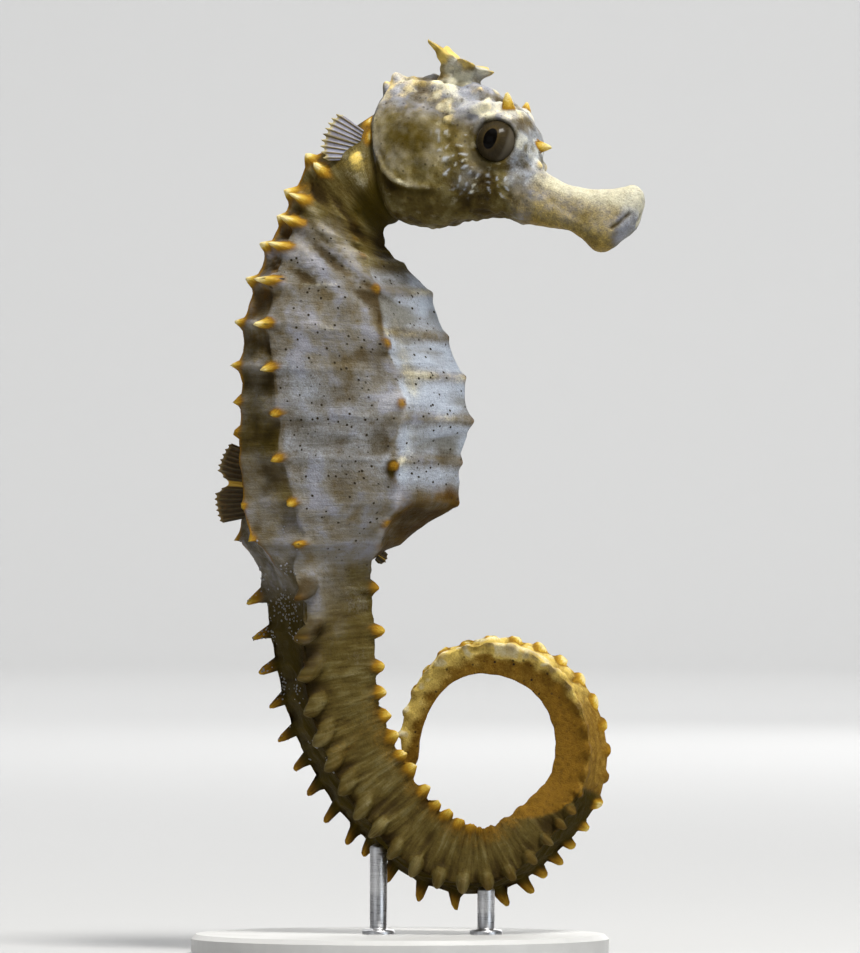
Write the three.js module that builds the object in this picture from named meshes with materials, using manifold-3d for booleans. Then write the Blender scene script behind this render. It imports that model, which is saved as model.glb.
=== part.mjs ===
// A life-size seahorse, held upright on a plain display stand.
//
// Millimetres, +Z up. The animal faces +X, its left side is +Y, and the stand's underside is z = 0 with the
// origin at its middle. The body is one long lofted form, counted in bony rings from the nape: rings 1 to 11
// are the neck and trunk, rings 12 to 49 the tail. Every length of it is cut from that form.

import * as THREE from 'three';
import Module from 'manifold-3d';
import { mergeVertices } from 'three/addons/utils/BufferGeometryUtils.js';

const wasm = await Module();
wasm.setup();

// ---------------------------------------------------------------- driving dimensions

const GAP = 0.3;                 // clear space between touching pieces
const TRUNK_RINGS = 11;
const TAIL_RINGS = 38;
const LAST_RING = TRUNK_RINGS + TAIL_RINGS;

// Head: where its middle plane lies level with the eyes, how far it dips and turns.
const HEAD_CENTRE = new THREE.Vector3(12.0, -3.45, 88.8);
const HEAD_DIP = 20;
const HEAD_TURN = -16;
const NAPE = [-15.6, -1.6];
const THROAT = [-9.3, -11.7];
const NECK_HALF_WIDTH = 3.7;
const EYE = { x: 0, y: 2.85, z: 0, radius: 2.4 };

// Neck and trunk, ring by ring: place of the section's middle, the tilt of its belly side above level, its
// turn towards the right side, its roll, half depth from back to belly, half width, and how far the lateral
// ridge lies below the superior one.
const TRUNK = [
  { ring: 1, x: -5.3, z: 83.6, tilt: -43, turn: 10, roll: 0, depth: 5.4, width: 3.9, drop: 1.8 },
  { ring: 2, x: -6.4, z: 81.0, tilt: -26, turn: 5, roll: 0, depth: 5.6, width: 4.4, drop: 1.7 },
  { ring: 3, x: -6.9, z: 79.0, tilt: -17, turn: 2, roll: 0, depth: 6.0, width: 4.9, drop: 1.7 },
  { ring: 4, x: -6.9, z: 76.8, tilt: -7, turn: 0, roll: 0, depth: 7.3, width: 5.5, drop: 1.9 },
  { ring: 5, x: -6.2, z: 73.2, tilt: -4, turn: 0, roll: 0, depth: 9.5, width: 6.2, drop: 2.2 },
  { ring: 6, x: -6.0, z: 68.5, tilt: -4, turn: 0, roll: 0, depth: 11.1, width: 6.8, drop: 3.0 },
  { ring: 7, x: -5.2, z: 63.9, tilt: -3, turn: 0, roll: 0, depth: 12.0, width: 7.1, drop: 3.7 },
  { ring: 8, x: -4.8, z: 59.0, tilt: -2, turn: 0, roll: 0, depth: 12.5, width: 7.1, drop: 4.4 },
  { ring: 9, x: -5.4, z: 54.3, tilt: -1, turn: 0, roll: 0, depth: 12.0, width: 6.8, drop: 4.9 },
  { ring: 10, x: -5.6, z: 49.6, tilt: 0, turn: 0, roll: 6, depth: 11.7, width: 6.2, drop: 5.6 },
  { ring: 10.5, x: -7.0, z: 47.3, tilt: 0, turn: 0, roll: 12, depth: 10.3, width: 5.8, drop: 5.6 },
  { ring: 11, x: -8.1, z: 45.0, tilt: 0, turn: 0, roll: 20, depth: 8.5, width: 5.4, drop: 5.0 },
  { ring: 11.5, x: -9.2, z: 42.7, tilt: 0, turn: 0, roll: 28, depth: 6.3, width: 4.9, drop: 3.0 },
];

// Tail: it hangs in a gentle bend, then closes into a round coil whose tip goes round behind the hanging length.
const TAIL_HANG = [[-9.1, 39.9], [-8.8, 36.7], [-8.4, 33.0], [-7.9, 29.0], [-6.8, 25.2], [-5.3, 21.7], [-3.4, 18.4]];
const COIL = { x: 9.6, z: 22.4, entry: 12.5, radius: 10.3, tip: 9.0, from: -145, to: 185 };
const COIL_STEPS = 24;
const TIP_RUN = [[-0.2, 19.4], [-1.2, 17.2]];
const TIP_DRIFT = 6.8;           // how far the tip lies towards the left side
const RING_PITCH = { base: 2.0, floor: 2.35, decay: 3.5 };
const TAIL_SIZES = [             // ring, half side of the square section, roll
  [12, 4.5, 34], [13, 4.37, 31], [14, 4.23, 27], [17, 3.8, 22], [20, 3.53, 18], [23, 3.35, 14], [27, 2.78, 14],
  [30, 2.33, 24], [33, 2.05, 26], [37, 1.8, 18], [41, 1.55, 10], [44, 1.25, 5], [47, 0.9, 0], [49, 0.45, 0],
];

const STAND = { length: 23, width: 19, thickness: 2.2, bevel: 0.5, rodRadius: 1.0 };

const COLOURS = {
  skin: 0x8d8878, tail: 0x7c6a42, snout: 0xa79a72, coronet: 0xb9a873, eye: 0x1a140d, fin: 0x6d6a55,
  stand: 0xe4e3df, rod: 0xb4b6b8,
};

// ---------------------------------------------------------------- small helpers

const radians = THREE.MathUtils.degToRad;
const smooth = (from, to, t) => THREE.MathUtils.smoothstep(t, from, to);
const mix = THREE.MathUtils.lerp;

/** A smooth curve through knots [t, value], flat beyond its ends. */
function through(knots, t) {
  const last = knots.length - 1;
  if (t <= knots[0][0]) return knots[0][1];
  if (t >= knots[last][0]) return knots[last][1];
  let i = 0;
  while (knots[i + 1][0] < t) i += 1;
  const slope = (k) => {
    const a = knots[Math.max(k - 1, 0)];
    const b = knots[Math.min(k + 1, last)];
    return (b[1] - a[1]) / (b[0] - a[0]);
  };
  const [t0, v0] = knots[i];
  const [t1, v1] = knots[i + 1];
  const h = t1 - t0;
  const u = (t - t0) / h;
  const u2 = u * u;
  const u3 = u2 * u;
  return (2 * u3 - 3 * u2 + 1) * v0 + (u3 - 2 * u2 + u) * h * slope(i)
    + (3 * u2 - 2 * u3) * v1 + (u3 - u2) * h * slope(i + 1);
}

/** Joins rows of vertices, all of one length, into a closed body with flat fan ends. */
function loft(rows) {
  const around = rows[0].length;
  const positions = [];
  rows.forEach((row) => row.forEach((p) => positions.push(p.x, p.y, p.z)));
  const index = [];
  for (let r = 0; r + 1 < rows.length; r += 1) {
    for (let k = 0; k < around; k += 1) {
      const a = r * around + k;
      const b = r * around + ((k + 1) % around);
      index.push(a, b, b + around, a, b + around, a + around);
    }
  }
  [[0, 1], [rows.length - 1, 0]].forEach(([r, flip]) => {
    const middle = rows[r].reduce((sum, p) => sum.add(p), new THREE.Vector3()).divideScalar(around);
    const centre = positions.length / 3;
    positions.push(middle.x, middle.y, middle.z);
    for (let k = 0; k < around; k += 1) {
      const a = r * around + k;
      const b = r * around + ((k + 1) % around);
      if (flip) index.push(centre, b, a);
      else index.push(centre, a, b);
    }
  });
  const geometry = new THREE.BufferGeometry();
  geometry.setAttribute('position', new THREE.Float32BufferAttribute(positions, 3));
  geometry.setIndex(index);
  return faceOut(geometry);
}

/** Turns a closed geometry's faces outwards. */
function faceOut(geometry) {
  const p = geometry.attributes.position;
  const index = geometry.index.array;
  const [a, b, c] = [new THREE.Vector3(), new THREE.Vector3(), new THREE.Vector3()];
  let volume = 0;
  for (let i = 0; i < index.length; i += 3) {
    a.fromBufferAttribute(p, index[i]);
    b.fromBufferAttribute(p, index[i + 1]);
    c.fromBufferAttribute(p, index[i + 2]);
    volume += a.dot(b.cross(c));
  }
  if (volume < 0) {
    for (let i = 0; i < index.length; i += 3) [index[i + 1], index[i + 2]] = [index[i + 2], index[i + 1]];
  }
  return geometry;
}

/** A solid for joining and cutting, from a closed geometry. */
function solid(geometry) {
  const bare = geometry.clone();
  bare.deleteAttribute('normal');
  bare.deleteAttribute('uv');
  const merged = mergeVertices(bare, 1e-5);
  return new wasm.Manifold(new wasm.Mesh({
    numProp: 3,
    vertProperties: new Float32Array(merged.attributes.position.array),
    triVerts: new Uint32Array(merged.index.array),
  }));
}

/** The geometry of a joined or cut solid. */
function geometryOf(body) {
  const mesh = body.getMesh();
  const geometry = new THREE.BufferGeometry();
  geometry.setAttribute('position', new THREE.Float32BufferAttribute(mesh.vertProperties, 3));
  geometry.setIndex(new THREE.BufferAttribute(new Uint32Array(mesh.triVerts), 1));
  return geometry;
}

function named(name, geometry, color, roughness = 0.6, metalness = 0) {
  const mesh = new THREE.Mesh(geometry, new THREE.MeshStandardMaterial({ color, roughness, metalness }));
  mesh.name = name;
  return mesh;
}

// ---------------------------------------------------------------- the body's line and frames

const headTurn = new THREE.Matrix4().makeRotationY(radians(HEAD_DIP))
  .multiply(new THREE.Matrix4().makeRotationZ(radians(HEAD_TURN)));
const headPlace = new THREE.Matrix4().makeTranslation(HEAD_CENTRE).multiply(headTurn);

/** A point of the head's own frame, in the object's. */
function fromHead(x, y, z) {
  return new THREE.Vector3(x, y, z).applyMatrix4(headPlace);
}

/** The tail's middle line: the hanging bend, the coil and the straightening tip. */
function tailLine() {
  const points = TAIL_HANG.map(([x, z]) => new THREE.Vector3(x, 0, z));
  for (let i = 0; i <= COIL_STEPS; i += 1) {
    const angle = mix(COIL.from, COIL.to, i / COIL_STEPS);
    const r = COIL.radius + (COIL.entry - COIL.radius) * (1 - smooth(-100, -50, angle))
      - (COIL.radius - COIL.tip) * smooth(100, 165, angle);
    const drift = TIP_DRIFT * smooth(-120, 260, angle) / smooth(-120, 260, COIL.to);
    points.push(new THREE.Vector3(
      COIL.x + r * Math.cos(radians(angle)), drift, COIL.z + r * Math.sin(radians(angle)),
    ));
  }
  TIP_RUN.forEach(([x, z]) => points.push(new THREE.Vector3(x, TIP_DRIFT * 1.02, z)));
  return new THREE.CatmullRomCurve3(points, false, 'centripetal');
}

/** How far along the tail a ring lies, from 0 at ring 12 to 1 at the tip. */
function tailShare(ring) {
  const run = (k) => RING_PITCH.floor * k + RING_PITCH.base * RING_PITCH.decay * (1 - Math.exp(-k / RING_PITCH.decay));
  return run(ring - TRUNK_RINGS - 1) / run(TAIL_RINGS - 1);
}

/** Two square unit vectors of a section: towards the belly and towards the left side. */
function axes(tilt, turn, roll) {
  const t = radians(tilt);
  const s = radians(turn);
  const r = radians(roll);
  const belly = new THREE.Vector3(Math.cos(t) * Math.cos(s), -Math.cos(t) * Math.sin(s), Math.sin(t));
  const left = new THREE.Vector3(Math.sin(s), Math.cos(s), 0);
  return [
    belly.clone().multiplyScalar(Math.cos(r)).addScaledVector(left, Math.sin(r)),
    left.clone().multiplyScalar(Math.cos(r)).addScaledVector(belly, -Math.sin(r)),
  ];
}

/** The section frames that the whole body is threaded through, in ring order. */
function bodyKnots() {
  const nape = fromHead(NAPE[0], 0, NAPE[1]);
  const throat = fromHead(THROAT[0], 0, THROAT[1]);
  const first = {
    ring: 0,
    centre: nape.clone().add(throat).multiplyScalar(0.5),
    belly: throat.clone().sub(nape).normalize(),
    left: new THREE.Vector3(0, 1, 0).transformDirection(headTurn),
    depth: throat.distanceTo(nape) / 2,
    width: NECK_HALF_WIDTH,
    drop: 2.2,
  };
  const knots = [first];
  TRUNK.forEach((s) => {
    const [belly, left] = axes(s.tilt, s.turn, s.roll);
    knots.push({ ring: s.ring, centre: new THREE.Vector3(s.x, 0, s.z), belly, left, depth: s.depth, width: s.width,
      drop: s.drop });
  });
  const line = tailLine();
  line.arcLengthDivisions = 800;
  const sides = TAIL_SIZES.map(([ring, side]) => [ring, side]);
  const rolls = TAIL_SIZES.map(([ring, , roll]) => [ring, roll]);
  for (let ring = TRUNK_RINGS + 1; ring <= LAST_RING; ring += 1) {
    const share = Math.min(tailShare(ring), 1);
    const heading = line.getTangentAt(share);
    const side = through(sides, ring);
    const tilt = THREE.MathUtils.radToDeg(Math.atan2(heading.x, -heading.z));
    const [belly, left] = axes(tilt, 0, through(rolls, ring));
    knots.push({ ring, centre: line.getPointAt(share), belly, left, depth: side, width: side, drop: 0 });
  }
  return knots;
}

const KNOTS = bodyKnots();

/** The body's section frame and sizes at any ring number, whole or not. */
function bodyAt(ring) {
  const value = (pick) => through(KNOTS.map((k) => [k.ring, pick(k)]), ring);
  const vector = (name) => new THREE.Vector3(
    value((k) => k[name].x), value((k) => k[name].y), value((k) => k[name].z),
  );
  const belly = vector('belly').normalize();
  const left = vector('left');
  left.addScaledVector(belly, -left.dot(belly)).normalize();
  return { centre: vector('centre'), belly, left, depth: value((k) => k.depth), width: value((k) => k.width),
    drop: value((k) => k.drop) };
}

// ---------------------------------------------------------------- ridges, rings and spines

const TAIL_BEGINS = [10.6, 12.4];

/** The half outline of a section from mid back to mid belly, as [towards the belly, out to the side]. */
function halfOutline(ring, { depth, width, drop }) {
  const tail = smooth(TAIL_BEGINS[0], TAIL_BEGINS[1], ring);
  const trunk = {
    back: [-0.94 * depth, 0],
    superior: [-depth, 0.6 * width],
    lateral: [-depth + drop, 0.9 * width],
    flank: [0.05 * depth, width],
    inferior: [0.42 * depth, 0.83 * width],
    ventral: [0.75 * depth, 0.42 * width],
    keel: [depth, 0],
  };
  const square = {
    back: [-0.93 * depth, 0],
    superior: [-0.95 * depth, 0.5 * width],
    lateral: [-depth, width],
    flank: [0, 0.95 * width],
    inferior: [depth, width],
    ventral: [0.95 * depth, 0.5 * width],
    keel: [0.93 * depth, 0],
  };
  const outline = {};
  Object.keys(trunk).forEach((key) => {
    outline[key] = [mix(trunk[key][0], square[key][0], tail), mix(trunk[key][1], square[key][1], tail)];
  });
  return outline;
}

/** Height of the spine that a ridge carries on a ring. */
function spineHeight(ridge, ring) {
  const heights = {
    superior: [[0, 1.2], [6, 1.9], [8, 1.4], [9, 0.5], [10, 0.4], [11, 1.2], [12, 0]],
    lateral: [[0, 1.2], [4, 1.4], [9, 1.1], [11, 1.5], [12, 2.1], [19, 2.1], [27, 1.6], [30, 0.9], [49, 0.2]],
    inferior: [[0, 0.4], [4, 0.7], [8, 0.9], [11, 0.8], [12, 1.3], [21, 1.3], [25, 0.4], [36, 0.2], [49, 0.1]],
    keel: [[0, 0.1], [4, 0.3], [8, 0.5], [11, 0.3], [12, 0]],
  };
  return through(heights[ridge], ring);
}

const SPINE_FOOT = 0.75;         // half the width of a spine's foot

/** One row of body vertices: the whole outline at a ring number, with the spines' tips drawn out on a crest. */
function bodyRow(ring, crest, trunk) {
  const at = bodyAt(ring);
  const half = halfOutline(ring, at);
  const valley = 1 - 0.035 * Math.abs(Math.sin(Math.PI * ring));
  const foot = Math.min(SPINE_FOOT, 0.24 * at.width);
  const order = trunk ? Object.keys(half) : ['back', 'lateral', 'inferior', 'keel'];
  const points = [];
  order.forEach((name, i) => {
    const [d, l] = half[name];
    if (!['superior', 'lateral', 'inferior'].includes(name)) {
      const lift = crest && name === 'keel' ? spineHeight('keel', ring) : 0;
      points.push([d * valley + lift, l * valley]);
      return;
    }
    const before = half[order[i - 1]];
    const after = half[order[i + 1]];
    const step = (to) => {
      const share = Math.min(foot / Math.hypot(to[0] - d, to[1] - l), 0.45);
      return [mix(d, to[0], share) * valley, mix(l, to[1], share) * valley];
    };
    const out = new THREE.Vector2(d - (before[0] + after[0]) / 2, l - (before[1] + after[1]) / 2).normalize();
    const height = crest ? spineHeight(name, ring) : 0;
    points.push(step(before), [d * valley + out.x * height, l * valley + out.y * height], step(after));
  });
  const mirrored = points.slice(1, -1).reverse().map(([d, l]) => [d, -l]);
  return points.concat(mirrored).map(([d, l]) => at.centre.clone()
    .addScaledVector(at.belly, d).addScaledVector(at.left, l));
}

/** The ring numbers at which rows of a length are laid: valleys, and each crest with a row close on either side. */
function rowRings(from, to) {
  const rings = [from];
  for (let ring = Math.ceil(from); ring <= Math.floor(to); ring += 1) {
    const pitch = bodyAt(Math.min(ring + 0.5, LAST_RING)).centre.distanceTo(bodyAt(Math.max(ring - 0.5, 0)).centre);
    const side = Math.min(SPINE_FOOT / Math.max(pitch, 1), 0.3);
    const fine = ring < LAST_RING - 18;
    const wanted = fine ? [ring - 0.5, ring - side, ring, ring + side] : [ring - 0.5, ring];
    wanted.forEach((r) => {
      if (r > from + 0.12 && r < to - 0.12) rings.push(r);
    });
  }
  rings.push(to);
  return rings;
}

/** A closed length of the body between two ring numbers. */
function bodyLength(from, to) {
  const start = from + GAP / 2 / bodyAt(from).centre.distanceTo(bodyAt(from + 1).centre);
  const end = to >= LAST_RING ? LAST_RING : to - GAP / 2 / bodyAt(to - 1).centre.distanceTo(bodyAt(to).centre);
  const trunk = from < TAIL_BEGINS[1];
  return loft(rowRings(start, end).map((ring) => bodyRow(ring, Math.abs(ring - Math.round(ring)) < 1e-6, trunk)));
}

// ---------------------------------------------------------------- head

/** A cone-like spine from a foot to a tip, in the head's frame. */
function thorn(foot, tip, radius) {
  const base = new THREE.Vector3(...foot);
  const height = base.distanceTo(new THREE.Vector3(...tip));
  const cone = new THREE.CylinderGeometry(0.18, radius, height, 7);
  cone.translate(0, height / 2, 0);
  const heading = new THREE.Vector3(...tip).sub(base).normalize();
  cone.applyQuaternion(new THREE.Quaternion().setFromUnitVectors(new THREE.Vector3(0, 1, 0), heading));
  return cone.translate(base.x, base.y, base.z);
}

/** An egg-like head section between a top and a bottom point of the middle plane. */
function headRow({ top, bottom, width, pinch = 0.22, square = 2.3 }, around) {
  const row = [];
  for (let k = 0; k < around; k += 1) {
    const angle = (2 * Math.PI * k) / around;
    const c = Math.cos(angle);
    const s = Math.sin(angle);
    const h = Math.sign(c) * Math.abs(c) ** (2 / square);
    const w = Math.sign(s) * Math.abs(s) ** (2 / square) * (1 - pinch * h);
    const share = (1 + h) / 2;
    row.push(new THREE.Vector3(mix(bottom[0], top[0], share), w * width, mix(bottom[1], top[1], share)));
  }
  return row;
}

const SKULL = [
  { top: [-15.6, -1.6], bottom: [-9.3, -11.7], width: 3.7 },
  { top: [-15.3, 0.6], bottom: [-8.2, -11.8], width: 4.5 },
  { top: [-14.2, 2.5], bottom: [-6.6, -11.5], width: 5.0 },
  { top: [-12.2, 3.8], bottom: [-4.9, -11.1], width: 5.15 },
  { top: [-9.6, 4.7], bottom: [-3.1, -10.4], width: 5.1 },
  { top: [-6.8, 5.2], bottom: [-1.5, -9.3], width: 4.8 },
  { top: [-4.2, 5.2], bottom: [0.2, -8.5], width: 4.5 },
  { top: [-1.8, 4.7], bottom: [1.4, -7.9], width: 4.2 },
  { top: [0.5, 4.1], bottom: [2.7, -7.5], width: 3.8 },
  { top: [2.2, 3.0], bottom: [3.8, -7.4], width: 3.3 },
  { top: [3.2, 0.9], bottom: [4.7, -7.4], width: 2.85 },
  { top: [4.2, -0.9], bottom: [5.5, -7.3], width: 2.45, pinch: 0.1 },
];
const SNOUT = [
  { top: [4.6, -1.3], bottom: [5.9, -7.25], width: 2.35, pinch: 0.1 },
  { top: [7.0, -1.7], bottom: [7.9, -6.9], width: 2.05, pinch: 0.05 },
  { top: [9.6, -1.65], bottom: [10.2, -6.5], width: 1.85, pinch: 0 },
  { top: [12.2, -1.0], bottom: [12.1, -6.9], width: 1.9, pinch: 0.05 },
  { top: [14.2, -0.2], bottom: [13.9, -7.5], width: 2.0, pinch: 0.1 },
  { top: [15.6, 0.4], bottom: [15.2, -7.0], width: 2.0, pinch: 0.1 },
  { top: [16.6, 0.1], bottom: [16.3, -5.4], width: 1.75, pinch: 0.1 },
  { top: [17.2, -1.2], bottom: [17.2, -4.4], width: 1.1, pinch: 0 },
];

/** Skull, cheeks and gill covers in one piece, with a socket for each eye. */
function headPiece() {
  let body = solid(loft(SKULL.map((section) => headRow(section, 28))));
  const sides = [-1, 1];
  const thorns = [[[1.9, 0, 0.6], [4.9, 0, 1.2], 0.9]];
  sides.forEach((s) => {
    thorns.push([[-0.4, s * 2.4, 2.6], [-0.1, s * 4.3, 5.4], 1.1]);
    thorns.push([[-13.4, s * 2.0, 0.6], [-14.9, s * 2.6, 2.0], 0.9]);
    thorns.push([[-3.2, s * 1.6, -9.0], [-2.7, s * 1.9, -10.9], 0.7]);
  });
  thorns.forEach(([foot, tip, radius]) => {
    body = body.add(solid(thorn(foot, tip, radius)));
  });
  sides.forEach((s) => {
    const socket = new THREE.SphereGeometry(EYE.radius + GAP, 20, 12).translate(EYE.x, s * EYE.y, EYE.z);
    body = body.subtract(solid(socket));
  });
  return named('head', geometryOf(body), COLOURS.skin);
}

function snoutPiece() {
  return named('snout', loft(SNOUT.map((section) => headRow(section, 20))), COLOURS.snout);
}

function eyePiece(side, s) {
  const ball = new THREE.SphereGeometry(EYE.radius, 20, 12).translate(EYE.x, s * EYE.y, EYE.z);
  return named(`eye_${side}`, ball, COLOURS.eye, 0.15);
}

const CORONET = { x: -8.4, foot: 4.75, neck: 5.9, crown: 7.0, reach: 4.0, points: 5 };

/** The crown: a short stalk that opens into a star of five raised points. */
function coronetPiece() {
  const around = CORONET.points * 4;
  const ring = (height, length, width, star) => {
    const row = [];
    for (let k = 0; k < around; k += 1) {
      const angle = (2 * Math.PI * k) / around;
      const tip = star * Math.max(0, Math.cos((CORONET.points * angle) / 1)) ** 2;
      const reach = 1 + tip * (CORONET.reach / length - 1);
      const rise = tip * (0.55 - 0.55 * Math.cos(angle));
      row.push(new THREE.Vector3(CORONET.x + length * reach * Math.cos(angle), width * reach * Math.sin(angle),
        height + rise + 0.1 * (length * Math.cos(angle))));
    }
    return row;
  };
  const rows = [
    ring(CORONET.foot + GAP, 2.4, 1.9, 0), ring(CORONET.neck, 2.0, 1.6, 0.15), ring(CORONET.crown - 0.3, 2.1, 1.9, 1),
    ring(CORONET.crown + 0.3, 1.5, 1.4, 0.6),
  ];
  return loft(rows);
}

// ---------------------------------------------------------------- fins

/** A thin fin: a fan outline given as points of a plane, thickened to both sides of it. */
function fin(name, outline, thickness, place) {
  const shape = new THREE.Shape(outline.map(([x, y]) => new THREE.Vector2(x, y)));
  const plate = new THREE.ExtrudeGeometry(shape, { depth: thickness, bevelEnabled: false });
  plate.translate(0, 0, -thickness / 2);
  const mesh = named(name, plate, COLOURS.fin, 0.5);
  mesh.applyMatrix4(place);
  return mesh;
}

/** A rounded fan between two ends of a base, reaching out by height, as outline points. */
function fan(base, height, steps, lean) {
  const outline = [[0, 0]];
  for (let i = 0; i <= steps; i += 1) {
    const share = i / steps;
    const swell = Math.sin(Math.PI * mix(0.14, 0.86, share));
    outline.push([mix(-0.12, 1.12, share) * base + lean * swell, height * swell]);
  }
  outline.push([base, 0]);
  return outline;
}

const FIN_THICKNESS = 0.6;

/** The frame whose X runs along the fin's base, Y out of the body and Z across the fin. */
function finFrame(origin, along, out) {
  const x = along.clone().normalize();
  const z = new THREE.Vector3().crossVectors(x, out).normalize();
  const y = new THREE.Vector3().crossVectors(z, x);
  return new THREE.Matrix4().makeBasis(x, y, z).setPosition(origin);
}

function dorsalFin() {
  const rings = [8.95, 10.3];
  const feet = rings.map((ring) => {
    const at = bodyAt(ring);
    return at.centre.clone().addScaledVector(at.belly, -0.94 * at.depth - GAP - 0.1);
  });
  const along = feet[1].clone().sub(feet[0]);
  const out = bodyAt(9.5).belly.clone().negate();
  return fin('dorsal_fin', fan(along.length(), 3.3, 9, 0), FIN_THICKNESS, finFrame(feet[0], along, out));
}

function analFin() {
  const at = bodyAt(11.25);
  const foot = at.centre.clone().addScaledVector(at.belly, at.depth + GAP - 0.35);
  const out = at.belly.clone().add(new THREE.Vector3(0, 0, -0.6)).normalize();
  const along = new THREE.Vector3().crossVectors(at.left, out);
  return fin('anal_fin', fan(1.2, 1.1, 5, 0.1), FIN_THICKNESS, finFrame(foot, along, out));
}

const PECTORAL = { ring: 0.4, back: 0.5, side: 0.84, base: 3.2, height: 3.9 };

/** A pectoral fin, spread backwards from just behind the gill cover, standing a little off the neck. */
function pectoralFin(side, s) {
  const at = bodyAt(PECTORAL.ring);
  const foot = at.centre.clone().addScaledVector(at.belly, -PECTORAL.back * at.depth)
    .addScaledVector(at.left, s * (PECTORAL.side * at.width + GAP + 0.25));
  const down = bodyAt(1.2).centre.sub(bodyAt(0.2).centre).normalize();
  const along = down.clone().addScaledVector(at.belly, -0.25).normalize();
  foot.addScaledVector(along, -PECTORAL.base / 2);
  const out = at.belly.clone().negate().addScaledVector(at.left, s * 0.55).normalize();
  return fin(`pectoral_fin_${side}`, fan(PECTORAL.base, PECTORAL.height, 8, 0), FIN_THICKNESS,
    finFrame(foot, along, out));
}

// ---------------------------------------------------------------- display stand

/** A low oval base with a small bevel round its top. */
function standBase() {
  const shape = new THREE.Shape();
  shape.absellipse(0, 0, STAND.length - STAND.bevel, STAND.width - STAND.bevel, 0, 2 * Math.PI);
  const plate = new THREE.ExtrudeGeometry(shape, {
    depth: STAND.thickness - STAND.bevel, curveSegments: 40, bevelThickness: STAND.bevel, bevelSize: STAND.bevel,
    bevelSegments: 1,
  });
  const p = plate.attributes.position;
  for (let i = 0; i < p.count; i += 1) {
    if (p.getZ(i) < 0) p.setZ(i, 0);
  }
  return plate;
}

/** A short upright rod from the base to the underside of the tail at a ring number. */
function standRod(name, ring) {
  const at = bodyAt(ring);
  const under = at.centre.clone().addScaledVector(at.belly, -at.depth * 1.2);
  const top = under.z - GAP;
  const height = top - STAND.thickness - 0.05;
  const rod = new THREE.CylinderGeometry(STAND.rodRadius, STAND.rodRadius, height, 16);
  rod.rotateX(Math.PI / 2);
  const mesh = named(name, rod, COLOURS.rod, 0.3, 0.9);
  mesh.position.set(under.x, under.y, STAND.thickness + 0.05 + height / 2);
  return mesh;
}

// ---------------------------------------------------------------- assembly

const LENGTHS = [
  ['neck', 0, 3.5], ['trunk_upper', 3.5, 6.5], ['trunk_middle', 6.5, 9.5], ['trunk_lower', 9.5, 12.5],
  ['tail_root', 12.5, 15.5], ['tail_upper', 15.5, 18.5], ['tail_middle', 18.5, 22.5], ['tail_bend', 22.5, 26.5],
  ['tail_coil_lower', 26.5, 30.5], ['tail_coil_front', 30.5, 35.5], ['tail_coil_top', 35.5, 41.5],
  ['tail_tip', 41.5, LAST_RING],
];

const seahorse = new THREE.Group();

LENGTHS.forEach(([name, from, to]) => {
  const colour = name.startsWith('tail') ? COLOURS.tail : COLOURS.skin;
  seahorse.add(named(name, bodyLength(from, to), colour));
});

const head = new THREE.Group();
head.position.copy(HEAD_CENTRE);
head.quaternion.setFromRotationMatrix(headTurn);
head.add(headPiece(), snoutPiece(), eyePiece('left', 1), eyePiece('right', -1));
head.add(named('coronet', coronetPiece(), COLOURS.coronet));
seahorse.add(head);

seahorse.add(dorsalFin(), analFin(), pectoralFin('left', 1), pectoralFin('right', -1));

const stand = new THREE.Group();
stand.add(named('stand_base', standBase(), COLOURS.stand, 0.5));
stand.add(standRod('stand_rod_rear', 21.5), standRod('stand_rod_front', 25.5));
seahorse.add(stand);

export default seahorse;
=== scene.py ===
"""The looks of a life-size seahorse on its display stand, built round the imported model.

The animal faces +X, its left side is +Y and the stand's underside is z = 0. Sizes are in millimetres until a
mesh is made. One skin covers the whole animal from the mouth to the tip of the tail: its rows are counted in
bony rings, ring 0 at the nape, rings 1 to 11 on the neck and trunk, and the rest on the tail.
"""

import logging
import math
from collections.abc import Callable, Sequence
from dataclasses import asdict, dataclass, field
from enum import Enum
from functools import reduce

import bmesh
import bpy
import numpy as np
from mathutils import Matrix, Vector


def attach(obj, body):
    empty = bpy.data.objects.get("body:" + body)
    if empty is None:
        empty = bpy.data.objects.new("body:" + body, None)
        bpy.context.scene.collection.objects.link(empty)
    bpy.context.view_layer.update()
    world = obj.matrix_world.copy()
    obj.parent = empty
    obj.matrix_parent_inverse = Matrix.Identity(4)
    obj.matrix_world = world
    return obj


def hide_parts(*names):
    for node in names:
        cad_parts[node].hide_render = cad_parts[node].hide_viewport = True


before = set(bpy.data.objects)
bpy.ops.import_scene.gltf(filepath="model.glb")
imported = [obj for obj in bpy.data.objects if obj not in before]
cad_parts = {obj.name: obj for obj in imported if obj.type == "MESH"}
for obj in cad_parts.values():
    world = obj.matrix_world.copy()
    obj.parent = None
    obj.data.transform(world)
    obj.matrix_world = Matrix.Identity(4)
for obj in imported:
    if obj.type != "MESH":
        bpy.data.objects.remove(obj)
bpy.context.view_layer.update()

log = logging.getLogger("seahorse")

MM = 0.001
PER_MM = (1 / MM, 1 / MM, 1 / MM)
BODY = "root"
LAST_RING = 49
TRUNK_RINGS = 11
SIDES = {1: "left", -1: "right"}

Array = np.ndarray
Socket = bpy.types.NodeSocket
NodeTree = bpy.types.NodeTree
Material = bpy.types.Material
Mesh = bpy.types.Mesh
Object = bpy.types.Object
Pair = tuple[float, float]
Triple = tuple[float, float, float]
Colour = Triple
Knots = tuple[Pair, ...]
Stops = tuple[tuple[float, Colour], ...]


# -------------------- numbers


def smooth(low: float, high: float, value: Array | float) -> Array:
    """A soft step from 0 at low to 1 at high, or a step down where low lies past high."""
    t = np.clip((np.asarray(value, float) - low) / (high - low), 0.0, 1.0)
    return t * t * (3.0 - 2.0 * t)


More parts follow.
